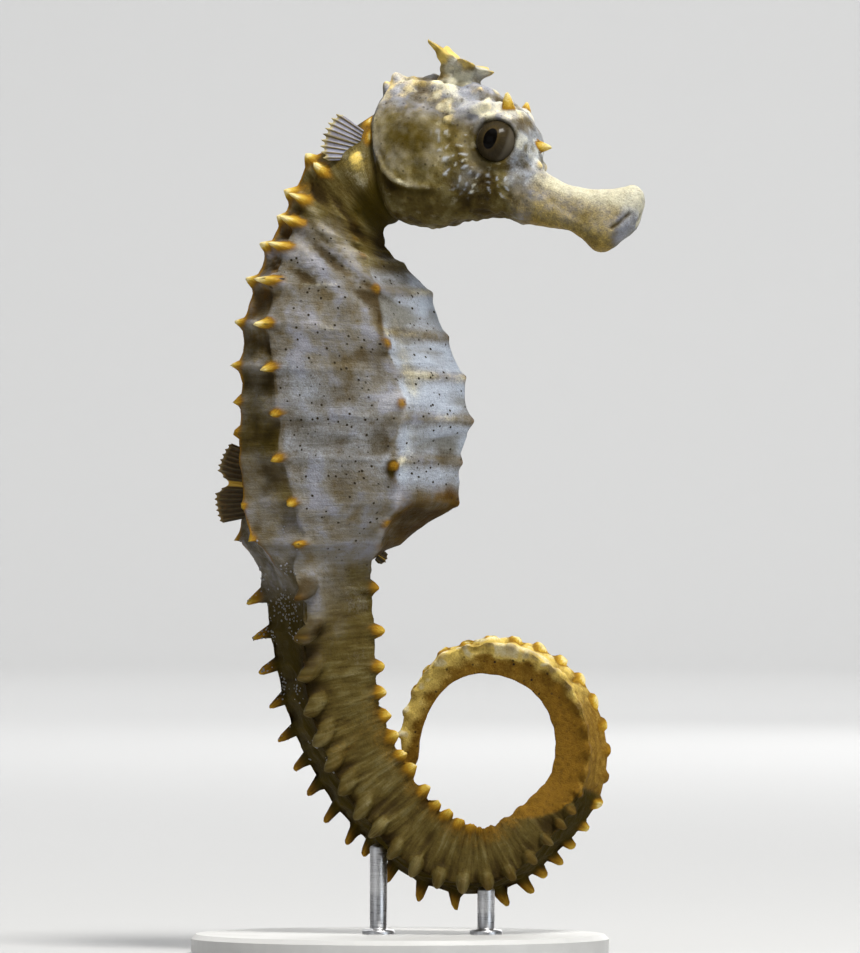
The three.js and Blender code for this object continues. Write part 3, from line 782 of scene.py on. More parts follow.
@dataclass(frozen=True)
class Fold:
    """A long ridge or groove on both sides of the head, along a path of the middle plane."""

    path: Knots
    width: float
    height: float


@dataclass(frozen=True)
class Thorn:
    """A pointed spine of the head, from its foot to its tip; a tip off the middle plane has a twin."""

    foot: Triple
    tip: Triple
    radius: float
    taper: Pair = (2.0, 0.9)
    golden: bool = False


@dataclass
class HeadSkin:
    """The grid of the skull, gill covers and snout, in the head's own frame."""

    line: BodyLine
    half_columns: int = 96
    rows: int = 168
    eye: Triple = (0.0, 2.85, 0.0)
    eye_radius: float = 2.5
    square: float = 2.3
    # from the nape to the lips: x and z of the top, x and z of the bottom, half width, pinch towards the top
    sections: tuple[tuple[float, ...], ...] = (
        (-15.6, -1.6, -9.3, -11.7, 3.7, 0.22), (-15.3, 0.6, -8.2, -11.8, 4.5, 0.22),
        (-14.2, 2.5, -6.6, -11.5, 5, 0.22), (-12.2, 3.8, -4.9, -11.1, 5.15, 0.22),
        (-9.6, 4.7, -3.1, -10.4, 5.1, 0.22), (-6.8, 5.2, -1.5, -9.3, 4.8, 0.22),
        (-4.2, 5.2, 0.2, -8.5, 4.5, 0.22), (-1.8, 4.7, 1.4, -7.9, 4.2, 0.22),
        (0.5, 4.1, 2.7, -7.5, 3.8, 0.22), (2.2, 3, 3.8, -7.4, 3.3, 0.22), (3.2, 0.9, 4.7, -7.4, 2.85, 0.22),
        (4.3, -0.9, 5.6, -7.3, 2.45, 0.1), (7, -1.7, 7.9, -6.9, 2.05, 0.05),
        (9.6, -1.65, 10.2, -6.5, 1.85, 0), (12.2, -1, 12.1, -6.9, 1.9, 0.05),
        (14.2, -0.1, 13.9, -7.5, 2, 0.1), (15.5, 0.55, 15.2, -7, 2, 0.1),
        (16.4, 0.45, 16.2, -5.6, 1.8, 0.1), (17, -0.3, 16.9, -4.7, 1.35, 0),
        (17.3, -1.2, 17.25, -4, 0.6, 0),
    )
    swellings: tuple[Swelling, ...] = (
        Swelling((-8.6, 5, -2.9), (4.2, 4, 3.9), 0.75),
        Swelling((3.6, 0, -0.4), (1.6, 2, 1.6), 0.45),
        Swelling((-13.6, 2.2, 1.4), (1.3, 1.3, 1.3), 0.45),
        Swelling((2.6, 2.6, -4.4), (1.9, 2, 1.8), 0.25),
        Swelling((-3.2, 4.6, 3.4), (2.2, 1.6, 1.4), 0.35),
        Swelling((0.5, 3.6, -5), (1.4, 2, 2.2), -0.25),
        Swelling((-13, 4.2, -4.5), (1, 3, 4.5), 0.35),
    )
    gill_groove: float = 0.62
    gill_edge: Knots = (
        (-13.2, 2.0), (-13.9, 0.4), (-14.0, -1.6), (-13.0, -4.6), (-10.4, -7.2), (-7.7, -7.8), (-5.0, -7.2),
        (-2.6, -6.4),
    )
    folds: tuple[Fold, ...] = (
        Fold(((-6.2, 0.8), (-3.6, 2.5), (-0.9, 3.4), (1.8, 2.7)), 0.65, 0.75),
        Fold(((-9.5, 3), (-6.5, 3.9), (-3.5, 4.2)), 0.7, 0.25),
        Fold(((-12, 2.6), (-9, 1.4), (-6.2, 1.6)), 0.6, -0.18),
        Fold(((5.2, -3.2), (9, -4.2), (13, -4.8)), 0.6, -0.12),
        Fold(((16.9, -2), (16, -3.8), (15, -5)), 0.25, -0.28),
    )
    thorns: tuple[Thorn, ...] = (
        Thorn((-0.2, 2.7, 3.5), (-1, 3.6, 5.7), 0.85, (1.5, 1), True),
        Thorn((3.3, 0, 1), (5.1, 0, 1.5), 0.85, (1.5, 1.2), True),
        Thorn((4.4, 0.9, -0.9), (4.9, 1.2, -0.8), 0.7, (2, 1)),
        Thorn((-14.4, 1.5, 1.2), (-15.1, 2, 1.9), 0.9),
        Thorn((-14, 1.6, 2.7), (-14.5, 2, 3.2), 0.9),
        Thorn((-12.6, 1.4, 3.8), (-12.9, 1.7, 4.3), 0.9),
        Thorn((-10.9, 2.9, 3.4), (-11.1, 3.4, 3.9), 0.9, (2.2, 1)),
        Thorn((-4.2, 2.6, 4.6), (-4.2, 2.9, 5.1), 0.8, (2, 1)),
        Thorn((-5.6, 4.6, 0.6), (-5.9, 5, 0.8), 0.8, (2.2, 1)),
        Thorn((-8.6, 4.3, 2.2), (-8.8, 4.8, 2.6), 0.9, (2.2, 1)),
    )

    def angles(self) -> Array:
        """The half columns' angles from the top, closer together round the eye."""
        fine = np.linspace(0, math.pi, 2001)
        density = 1 + 0.55 * hump(fine - math.radians(72), math.radians(32))
        run = np.concatenate([[0], np.cumsum((density[1:] + density[:-1]) / 2)])
        return np.interp(np.linspace(0, run[-1], self.half_columns + 1), run, fine)

    def outline(self, pinch: float) -> Array:
        """The half outline of a section with half sizes of one: towards the belly, out to the side."""
        angle = self.angles()
        c, s = np.cos(angle), np.sin(angle)
        h = np.sign(c) * np.abs(c) ** (2 / self.square)
        w = np.abs(s) ** (2 / self.square) * (1 - pinch * h)
        return np.stack([-h, np.where(angle > math.pi - 1e-9, 0.0, w)], -1)

    def neck_outline(self, ring: Array) -> Array:
        """The outline that the neck's grid starts from, for every point of a grid of rings."""
        return np.broadcast_to(self.outline(self.sections[0][-1])[::2], (*ring.shape, 2))

    def build_half(self, side: int) -> Half:
        """One side of the head's grid, from the nape to the mouth.

        Args:
            side: 1 for the left side, -1 for the right.

        Returns:
            The finished side, in the object's frame.
        """
        knots = np.array([[i, *section] for i, section in enumerate(self.sections)])
        t = np.linspace(0, 1, self.rows)
        v = through(knots, (len(knots) - 1) * (0.9 * t + 0.1 * smooth(0, 1, t)))
        shape = np.stack([self.outline(pinch) for pinch in v[:, 5]])
        middle = mix(v[:, None, 2:4], v[:, None, 0:2], (1 - shape[..., 0:1]) / 2)
        point = np.insert(middle, 1, shape[..., 1] * v[:, None, 4], axis=-1)
        relief, paint = self._relief(point, side)
        relief = relief * smooth(0, 0.06, t)[:, None]
        point = point + ways_out(point, np.array((0, 1, 0))) * relief[..., None]
        point, socket = self._eye_rim(point)
        spine, knob = np.zeros((2, *relief.shape))
        moved = point.copy()
        for thorn in self.thorns:
            foot, tip = np.array(thorn.foot), np.array(thorn.tip)
            rho = np.minimum(np.linalg.norm(point - foot, axis=-1) / thorn.radius, 1)
            rise = (1 - rho ** thorn.taper[0]) ** thorn.taper[1]
            moved += (tip - foot) * rise[..., None]
            spine = most(spine, rise * thorn.golden)
            knob = most(knob, rise)
        point = moved * (1, side, 1)
        paint.update(spine=spine, root=spine**0.5, knob=knob, relief=relief, socket=socket)
        across, along = runs(point)
        ring = np.repeat(-20 * t[:, None], relief.shape[1], 1)
        own_flow = np.stack([-12.5 - point[..., 0], point[..., 2] + 6.6, point[..., 1]], -1)
        return Half(side, self.line.head.out(point), ring, across, -along, paint, own_flow)

    def _relief(self, point: Array, side: int) -> tuple[Array, dict[str, Array]]:
        """How far lumps, folds and the gill cover's edge push the skin out.

        Args:
            point: Places on one side, with the side's own way out as +y.
            side: 1 for the left side, -1 for the right.

        Returns:
            A height for each place, and the masks of what is marked in colour too.
        """
        x, y, z = np.moveaxis(point, -1, 0)
        relief = np.zeros_like(x)
        for lump in self.swellings:
            relief += lump.height * np.exp(-np.sum(((point - lump.at) / np.array(lump.size)) ** 2, -1))
        for fold in self.folds:
            relief += self._fold_relief(fold, point) * smooth(0.5, 1.6, y)
        behind = tuple((x - self.gill_groove, z - self.gill_groove) for x, z in self.gill_edge)
        rim, groove = (
            self._fold_relief(Fold(path, width, 1), point) * smooth(1, 2.5, y)
            for path, width in ((self.gill_edge, 0.34), (behind, 0.46))
        )
        own = point * (1, side, 1)
        crown = smooth(-0.5, 3, z) * span(x, -15.5, -13.5, 1, 3)
        lumps = 0.16 * grain(own, 1.9, 21) + 0.17 * grain(own, 0.95, 22) + 0.09 * grain(own, 0.5, 26)
        lumps += crown * (0.28 * grain(own, 1.35, 23) + 0.24 * grain(own, 0.75, 24))
        # fine rays in dashes, round the underside of the eye
        away, turn = np.hypot(x, z + 0.2), np.arctan2(z + 0.2, x)
        lines = span(away, 2.9, 3.6, 5.6, 8.2) * smooth(1.2, -1, z) * smooth(4.6, 2.6, x)
        dash = smooth(-0.35, 0.35, np.sin(5.6 * away + 5 * grain(own, 1.5, 27)))
        spoke = np.sin(27 * turn + 5 * grain(own, 1.8, 25)) * lines * dash
        relief += 0.45 * rim - 0.3 * groove + (lumps + 0.1 * spoke) * (1 - 0.6 * smooth(4.5, 7, x))
        return relief, {"rim": rim, "groove": groove, "rays": smooth(0.2, 0.85, spoke)}

    def _fold_relief(self, fold: Fold, point: Array) -> Array:
        """The height of a fold at each place, seen from the side."""
        path = np.array(fold.path)
        line = through(np.column_stack([np.arange(len(path)), path]), np.linspace(0, len(path) - 1, 60))
        gap = np.linalg.norm(point[..., None, ::2] - line, axis=-1)
        return fold.height * hump(gap.min(-1), fold.width) * span(gap.argmin(-1), 0, 12, 47, 59)

    def _eye_rim(self, point: Array) -> tuple[Array, Array]:
        """Raises the rim round the eye and sinks the skin behind the eyeball.

        Args:
            point: Places on one side, with the side's own way out as +y.

        Returns:
            The moved places, and how much of the socket each one is.
        """
        x, y, z = self.eye
        rho = np.hypot(point[..., 0] - x, point[..., 2] - z)
        brim = 2.26
        edge = y + math.sqrt(self.eye_radius**2 - brim**2)
        profile = (
            (0.0, y - 0.9), (1.3, y - 0.4), (1.9, edge - 0.75), (brim, edge), (2.55, edge + 0.3),
            (2.95, edge + 0.22), (3.6, edge - 0.25),
        )
        moved = point.copy()
        weight = smooth(4.1, 2.75, rho) * smooth(0.6, 1.6, point[..., 1])
        moved[..., 1] = mix(point[..., 1], through(profile, rho), weight)
        return moved, smooth(2.7, 2.2, rho)


# -------------------- markings


@dataclass
class Markings:
    """The animal's colours, with painted shade and painted highlights among them, as soft masks on its skin,
    worked out from rings, faces and places of the head.
    """

    head: HeadPlace
    channels: tuple[str, ...] = (
        "pale", "dark", "olive", "amber", "yellow", "blue", "gold", "speck", "streak", "relief", "wart",
    )
    most_specks: float = 1.3

    def kept(self, *masks: Array) -> dict[str, Array]:
        """The masks under their channels' names, each kept within its limits."""
        limits = {"speck": self.most_specks}
        named = zip(self.channels, masks, strict=True)
        return {name: np.clip(mask, 0, limits.get(name, 1)) for name, mask in named}

    def on_body(self, half: Half) -> dict[str, Array]:
        """The masks of one side of the body.

        Args:
            half: The side, with its faces and spines painted.

        Returns:
            One array for each channel.
        """
        p, ring = half.paint, half.ring
        tail, dorsal, belly, flank, arm, belt, lobe = (
            p[name] for name in ("tail", "dorsal", "belly", "flank", "arm", "belt", "lobe")
        )
        off = ring - np.rint(ring)
        trunk = 1 - tail
        column = np.arange(ring.shape[1])[None, :]
        front = smooth(22, 40, column)
        broad, patch, fine = (grain(half.point, *kind) for kind in ((6, 31), (3, 32), (1.1, 33)))
        coil = smooth(30.8, 31.5, ring + 4 * smooth(15, 34, column) + 0.25 * patch)
        arc = smooth(34.5, 37.5, ring + 0.8 * patch) * smooth(48, 46, ring)
        wide = arc * (1 + 0.9 * smooth(39, 42, ring))
        edge = smooth(22 + 4 * wide, 17 + 2.5 * wide, column + 4 * fine)
        waist = hump(ring - 10.9, 1.6)
        # knob: painted highlight, pale and blue-grey, on the tail's ring arms
        knob = 0.16 * arm * tail * (1 - coil) * smooth(12.5, 15, ring)
        nape = dorsal * trunk * smooth(7.5, 5.5, ring)
        stain = (0.62 + 0.7 * patch) * hump(belt + 0.15 + 0.3 * fine, 0.85) * span(ring, 3.6, 5, 10.2, 11)
        stain *= smooth(-0.45, 0.25, fine + 0.5 * patch)

        # dark: the dorsal and back faces are their own dark olive-brown, deepened there as painted shade
        # since these faces turn from the light; the lower neck under the head and the belly under the hip are
        # darkened as painted shade
        dark = mix(0.04 + 0.46 * smooth(3, 7, ring), 0.92, tail) + 0.12 * patch * trunk
        dark *= smooth(0.25, 0.85, dorsal + 0.35 * fine) * (1 - 0.25 * hump(off, 0.15) * trunk)
        dark = most(
            dark * (1 + 0.35 * fine * trunk) * (1 - 0.45 * waist),
            0.6 * p["back"],
            0.85 * smooth(3.4, 0.8, ring) * smooth(24, 33, column),
            0.62 * belly * span(ring, 9.3, 10.2, 11.5, 12.5),
            0.25 * span(ring, 9.6, 10.6, 14, 18) * (1 - belly),
        )
        dark *= (1 - coil) * (1 - 0.55 * smooth(0.15, 0.7, p["spine"])) * (1 - 0.9 * arm)
        olive = most(
            smooth(5.4, 1, ring - 1.2 * front + 0.8 * patch),
            smooth(10.4, 13.8, ring + 1.5 * front + 1.2 * patch),
            0.3 * trunk * flank * smooth(0.1, 0.6, broad),
            (0.42 + 0.3 * smooth(5, 9, ring) + 0.4 * patch) * dorsal * trunk * (1 - 0.45 * waist),
        )
        low = smooth(13, 17, ring) * (1 - coil)
        rust = (0.8 + 0.4 * fine) * most(
            0.55 * stain,
            0.8 * belly * span(ring, 9.4, 10.3, 11.3, 12),
            0.95 * smooth(38, 45, column) * span(ring, 9.2, 9.9, 11, 11.8),
            nape * (0.4 + 0.3 * fine),
            (0.55 * smooth(26, 32, column) * tail + 0.25 * flank * smooth(-0.2, 0.4, broad)) * low,
        )
        # yellow along the coil's outer edge, strongest on its pebbles, is partly the skin's own yellow,
        # partly painted light from above; the yellow on the lobe's knot is partly painted highlight
        rim = (0.55 + 0.5 * smooth(-0.25, 0.25, p["pebble"])) * arc + 0.22 * (1 - arc)
        yellow = most(
            coil * (0.16 * arc + rim * edge),
            (0.2 + 0.2 * patch) * belly * trunk * hump(off, 0.3) * span(ring, 3.6, 5, 9, 10),
            0.4 * lobe * smooth(-0.2, 0.5, -fine) + 0.8 * smooth(0.2, 0.7, p["knot"]),
        )
        panel = belly * trunk * span(ring, 3.8, 5.2, 9.2, 10.2) * np.abs(np.sin(math.pi * ring)) ** 0.8
        sheen = flank * span(ring, 11, 12.2, 13, 16) * (1 - 0.6 * front)
        blue = most(
            panel * (0.88 + 0.5 * smooth(-0.5, 0.3, patch + 0.4 * broad)),
            0.52 * flank * span(ring, 6, 7.5, 9, 10.4) * (0.8 + 0.4 * patch),
            0.26 * sheen * (0.8 + 1.2 * patch),
            knob,
        )
        sand = hump(off, 0.11) * np.interp(ring, (3.5, 4, 5, 7, 9, 10), (0, 0.6, 1, 0.5, 0.4, 0)) * trunk
        pale = 0.4 * sand * smooth(-0.4, 0.5, patch) * (flank + 0.5 * belly)
        pale += 0.32 * (1 + patch) * belly * trunk * hump(off, 0.22) * span(ring, 3, 5, 9, 10)
        # painted highlight: the trunk's raised skin is paler
        raised = smooth(0.1, 0.5, p["relief"] + 0.1 * fine)
        pale += 0.22 * raised * trunk * (1 - 0.8 * dorsal * smooth(4, 6, ring))
        beside = hump(belt - 1.9, 1.5) * belly * trunk * span(ring, 4.2, 5.2, 9, 10)
        # pale on the lobe and its knot, on the tail's ring knobs and on the coil's pebbles is partly the
        # skin's own cream, partly painted highlight on these swellings
        pale = most(
            pale,
            beside * (0.45 + 0.35 * patch),
            0.62 * lobe * smooth(-0.6, 0.4, fine),
            0.7 * smooth(0.55, 0.9, p["knot"]),
            knob,
            0.5 * p["spine"] * coil * smooth(33, 36, ring),
            0.62 * coil * arc * edge * smooth(0, 0.45, p["pebble"]),
        )
        gold = most(
            most(p["spine"], 0.45 * p["root"] ** 2) * (1 - 0.75 * coil),
            0.42 * hump(off, 0.09) * dorsal * trunk * smooth(-0.5, 0.3, patch) * smooth(6.5, 4.5, ring),
            (0.38 + 0.15 * fine) * p["crest"] * trunk * smooth(0.3, 1, ring),
        )
        speck = most(trunk * (flank + belly) * smooth(2.2, 3.6, ring), coil * (0.1 + 0.8 * arc * (1 - edge)))
        # relief: the skin's height, which the finish turns into painted shade in hollows and painted
        # highlights on crests
        relief = (0.9 - 0.75 * hump(ring - 11.9, 1.2)) * p["relief"] - 0.7 * arm * smooth(10.2, 11, ring)
        relief += 0.26 * p["folds"] - 0.4 * rust * trunk * (1 - dorsal) + 0.2 * nape
        streak = (0.33 - 0.03 * tail) * (1 - 0.85 * coil)
        wart = dorsal * span(ring, 10.3, 11.5, 15, 18) * smooth(-0.1, 0.4, patch)
        amber, dark, speck, relief = most(coil, rust), most(dark, 0.8 * stain), speck + 0.12, relief + 0.5
        return self.kept(pale, dark, olive, amber, yellow, blue, gold, speck, streak, relief, wart)

    def on_head(self, half: Half) -> dict[str, Array]:
        """The masks of one side of the head."""
        p = half.paint
        inverse = np.array(self.head.matrix().inverted())
        own = half.point @ inverse[:3, :3].T + inverse[:3, 3]
        x, y, z = own[..., 0], np.abs(own[..., 1]), own[..., 2]
        spots, patch, fine = (grain(own, *kind) for kind in ((1.5, 43), (2.4, 41), (0.9, 42)))
        snout = smooth(2.4, 7.6, x)
        skull = 1 - snout
        lips = smooth(15.2, 16.4, x)
        above = smooth(-1.6, 2.4, z - mix(0.22 * x + 2.2, -3.6, snout) + 0.9 * patch)
        bumps = smooth(-0.1, 0.35, p["relief"] + 0.15 * fine)
        cheek = np.exp(-(((x + 9.0) / 4.6) ** 2) - ((z + 2.6) / 3.8) ** 2)
        throat = smooth(-5.8, -8.4, z + 0.5 * patch - 0.08 * x)
        under = snout * smooth(-3.4, -6.4, z + 0.4 * patch) * (1 - 0.7 * lips)

        # pale on the upper skull, most on its bumps, is partly the skin's own cream, partly painted highlight
        # on the bumps; the snout's paler top is partly its own colour, partly painted light from above
        pale = most(
            0.6 * above * skull * (0.15 + 0.9 * bumps) * (1 - 0.8 * cheek),
            snout * (0.22 + 0.5 * smooth(-0.9, 1.3, z + 3.3 - 0.1 * (x - 9) + 0.5 * patch)),
        )
        pale = most(
            pale * (1 - 0.6 * hump(np.hypot(x + 4.1, z - 3.9), 1.9)),
            0.66 * hump(np.hypot(x + 2.6, (z - 2.3) * 1.6), 2.2) * (y > 1) * bumps,
            0.55 * p["rim"] * smooth(-0.8, 0.2, fine),
            0.28 * p["rays"],
            0.32 * hump(np.hypot(x - 3, z - 0.4), 1.5),
        )
        pale += 0.3 * skull * smooth(0.1, 0.6, fine - 0.4 * cheek)
        pale = most(pale * (1 - 0.5 * smooth(-8.5, -12, x) * (0.7 + 0.6 * patch)), 0.45 * p["knob"])
        # the throat and the lower head are darker olive-brown, partly their own colour, partly painted shade
        # under the head; the socket behind the eyeball and the groove behind the gill cover are darkened as
        # painted shade
        dark = 0.25 * throat * (1 - 0.8 * snout) + 0.5 * p["socket"] + 0.3 * p["groove"]
        dark += 0.3 * hump(np.hypot(x, z) - 2.9, 0.6) * smooth(2, 0.5, x)
        dark += cheek * np.minimum(0.78 + 0.1 * patch + 0.3 * fine, 0.84)
        dark += 0.36 * hump(np.hypot(x + 1, z + 5.2), 3.4) * skull
        olive = np.clip(1.15 * throat + 0.75 - 0.8 * above + 0.35 * patch + 0.2 * cheek, 0, 1) * skull
        # yellow on the tops of the skull's bumps is partly their own colour, partly painted highlight; on the
        # snout it is the skin's own
        yellow = 0.36 * (snout * (1 - lips) + bumps * above * skull * smooth(-0.3, 0.4, fine))
        yellow += 0.5 * p["knob"]
        yellow += 0.26 * skull * (0.5 + 0.5 * above) * smooth(0, 0.5, spots + 0.6 * fine) * (1 - throat)
        # cool blue-grey in the low skin between the bumps is painted shade
        cool = (0.22 * (1 - bumps) + 0.08 * cheek) * (1 - throat) * skull * smooth(-0.5, 0.4, -patch)
        cool = most(cool, 0.5 * p["rays"] + 0.22 * above * skull)
        cool += 0.2 * skull * (1 - throat) * smooth(0, 0.5, -spots - 0.5 * fine)
        face = span(x, 1.2, 3, 4.2, 6) * smooth(-5.5, -3, z)
        blue = most(0.72 * face * (0.8 + 0.5 * fine), cool) + 0.45 * lips * (1 - under)
        amber = 0.4 * snout * smooth(-5, -7, z) * (1 - lips)
        gold = smooth(0, 0.3, p["spine"]) * (0.7 + 0.3 * p["spine"])
        speck, relief, none = 0.25 + 0.3 * skull, 0.5 + 1.15 * p["relief"], np.zeros_like(x)
        # olive under the snout is partly its own colour, partly painted shade on its underside
        olive, pale = most(olive, 0.75 * under), pale + 0.05 * fine
        return self.kept(pale, dark, olive, amber, yellow, blue, gold, speck, none, relief, none)


# -------------------- mesh helpers


def as_piece(name: str, mesh: Mesh, nodes: Sequence[str]) -> Object:
    """Puts a finished mesh in the scene, riding on the body in place of its CAD nodes.

    Args:
        name: The piece's name.
        mesh: Its mesh, in metres, in place.
        nodes: The CAD nodes that it stands for.

    Returns:
        The new object.
    """
    piece = linked(name, mesh)
    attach(piece, BODY)
    if nodes:
        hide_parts(*nodes)
    log.info("%s: %d faces, stands for %s", name, len(mesh.polygons), ", ".join(nodes) or "nothing")
    return piece


def linked(name: str, data: bpy.types.ID) -> Object:
    """A new object in the scene."""
    made = bpy.data.objects.new(name, data)
    bpy.context.collection.objects.link(made)
    return made


def new_mesh(
    name: str,
    points: Array,
    faces: Sequence[Sequence[int]],
    material: Material,
    attributes: dict[str, Array] | None = None,
) -> Mesh:
    """A smooth-shaded closed mesh from places in millimetres.

    Args:
        name: The mesh's name.
        points: Places in millimetres.
        faces: Vertex numbers of each face.
        material: Its finish.
        attributes: Values to keep at each vertex, one number or three.

    Returns:
        The mesh, in metres, with its faces turned outwards.
    """
    mesh = bpy.data.meshes.new(name)
    mesh.from_pydata((points * MM).tolist(), [], faces)
    for key, values in (attributes or {}).items():
        kind, part = ("FLOAT_VECTOR", "vector") if values.ndim == 2 else ("FLOAT", "value")
        layer = mesh.attributes.new(key, kind, "POINT")
        layer.data.foreach_set(part, values.astype(np.float32).ravel())
    work = bmesh.new()
    work.from_mesh(mesh)
    bmesh.ops.recalc_face_normals(work, faces=work.faces)
    work.to_mesh(mesh)
    work.free()
    mesh.polygons.foreach_set("use_smooth", [True] * len(mesh.polygons))
    mesh.materials.append(material)
    mesh.update()
    return mesh


def grid_faces(rows: int, columns: int, first: int = 0) -> list[list[int]]:
    """The quads of a grid that closes on itself across its columns."""
    r = np.arange(rows - 1)[:, None] * columns + first
    c = np.arange(columns)[None, :]
    right = (c + 1) % columns
    return np.stack([r + c, r + right, r + columns + right, r + columns + c], -1).reshape(-1, 4).tolist()


def fan_faces(start: int, columns: int, centre: int) -> list[list[int]]:
    """Triangles that close a row of vertices onto a point."""
    return [[start + k, start + (k + 1) % columns, centre] for k in range(columns)]


def closed_loft(rows: Array) -> tuple[Array, list[list[int]]]:
    """Points and faces of rows of vertices, with the first and the last row closed onto their middles.

    Args:
        rows: Places, rows by columns by three.

    Returns:
        Places and faces.
    """
    count, columns = rows.shape[:2]
    points = np.vstack([rows.reshape(-1, 3), rows[0].mean(0), rows[-1].mean(0)])
    faces = grid_faces(count, columns) + fan_faces(0, columns, count * columns)
    return points, faces + fan_faces((count - 1) * columns, columns, count * columns + 1)


# -------------------- node helpers


def _sum(how: str) -> Callable[["Value", "Value | float"], "Value"]:
    """An operator of Value that makes one Math node."""
    return lambda value, other: value.math(how, other)


class Value:
    """A node's output, with which sums are written as with numbers."""

    def __init__(self, socket: Socket) -> None:
        """Takes an output."""
        self.socket = socket

    def other(self, output: int) -> "Value":
        """Another output of the same node."""
        return Value(self.socket.node.outputs[output])

    def math(self, how: str, *others: "Value | float") -> "Value":
        """One sum, with this value in front."""
        terms = dict(enumerate((self, *others)))
        return new_node(self.socket.id_data, "ShaderNodeMath", terms, operation=how)

    def __rsub__(self, number: float) -> "Value":
        """A number less this value."""
        return new_node(self.socket.id_data, "ShaderNodeMath", {0: number, 1: self}, operation="SUBTRACT")

    __add__, __sub__, __mul__, __pow__ = map(_sum, ("ADD", "SUBTRACT", "MULTIPLY", "POWER"))

    def band(self, low: float, high: float, start: float = 0.0, end: float = 1.0) -> "Value":
        """A soft step from start at low to end at high."""
        limits = {"Value": self, "From Min": low, "From Max": high, "To Min": start, "To Max": end}
        return new_node(self.socket.id_data, "ShaderNodeMapRange", limits, interpolation_type="SMOOTHSTEP")


Input = Value | float | str | Sequence[float] | Material


def plug(socket: Socket, value: Input) -> None:
    """Links a value to a node's input, or sets the input to it."""
    if isinstance(value, Value):
        socket.id_data.links.new(value.socket, socket)
    elif socket.type == "RGBA":
        socket.default_value = (*value, 1.0)
    else:
        socket.default_value = value


def new_node(
    tree: NodeTree, kind: str, inputs: dict[str | int, Input], output: int | str = 0, **options: Input
) -> Value:
    """Adds a node to a tree.

    Args:
        tree: The tree.
        kind: The node's type.
        inputs: What its inputs get, by name or number.
        output: The output wanted.
        options: Its other settings.

    Returns:
        The output.
    """
    node = tree.nodes.new(kind)
    for key, option in options.items():
        setattr(node, key, option)
    for key, value in inputs.items():
        plug(node.inputs[key], value)
    return Value(node.outputs[output])


class Shade:
    """One material's node tree, built with short calls."""

    def __init__(self, name: str) -> None:
        """Starts a material with one shader."""
        self.material = bpy.data.materials.new(name)
        self.material.use_nodes = True
        self.tree = self.material.node_tree
        self.tree.nodes.clear()
        self.shader = self.tree.nodes.new("ShaderNodeBsdfPrincipled")
        end = self.tree.nodes.new("ShaderNodeOutputMaterial")
        self.tree.links.new(self.shader.outputs["BSDF"], end.inputs["Surface"])

    def attribute(self, name: str, output: str = "Fac") -> Value:
        """A value kept on the mesh."""
        return new_node(self.tree, "ShaderNodeAttribute", {}, output, attribute_name=name)

    def stretched(self, place: Value, *scale: float) -> Value:
        """Coordinates scaled along each axis."""
        return new_node(self.tree, "ShaderNodeMapping", {"Vector": place, "Scale": scale})

    def place(self, *scale: float) -> Value:
        """The place in the object's own coordinates, scaled along each axis where scales are given."""
        place = new_node(self.tree, "ShaderNodeTexCoord", {}, "Object")
        return self.stretched(place, *scale) if scale else place

    def noise(
        self, place: Value, scale: float, detail: float = 3, rough: float = 0.55, warp: float = 0
    ) -> Value:
        """Cloudy noise from 0 to 1."""
        sizes = {"Vector": place, "Scale": scale, "Detail": detail, "Roughness": rough, "Distortion": warp}
        return new_node(self.tree, "ShaderNodeTexNoise", sizes)

    def blend(self, share: Value, a: Value | Colour, b: Value | Colour, how: str = "MIX") -> Value:
        """Two colours mixed."""
        options = {"data_type": "RGBA", "blend_type": how, "clamp_factor": True}
        return new_node(self.tree, "ShaderNodeMix", {"Factor": share, 6: a, 7: b}, 2, **options)

    def ramp(self, value: Value, stops: Sequence[tuple[float, Colour]]) -> Value:
        """A colour for each value, between stops."""
        made = new_node(self.tree, "ShaderNodeValToRGB", {"Fac": value})
        elements = made.socket.node.color_ramp.elements
        while len(elements) < len(stops):
            elements.new(0.5)
        for element, (place, colour) in zip(elements, stops, strict=True):
            element.position = place
            element.color = (*colour, 1.0)
        return made

    def bump(self, height: Value, depth: float, strength: float) -> Value:
        """A bumped normal; heights of 1 stand a depth in millimetres proud."""
        sizes = {"Height": height, "Distance": depth * MM, "Strength": strength}
        return new_node(self.tree, "ShaderNodeBump", sizes)

    def finish(self, **sockets: Input) -> Material:
        """Sets the shader's sockets, named with spaces as underscores, and gives the material."""
        for name, value in sockets.items():
            plug(self.shader.inputs[name.replace("_", " ")], value)
        return self.material


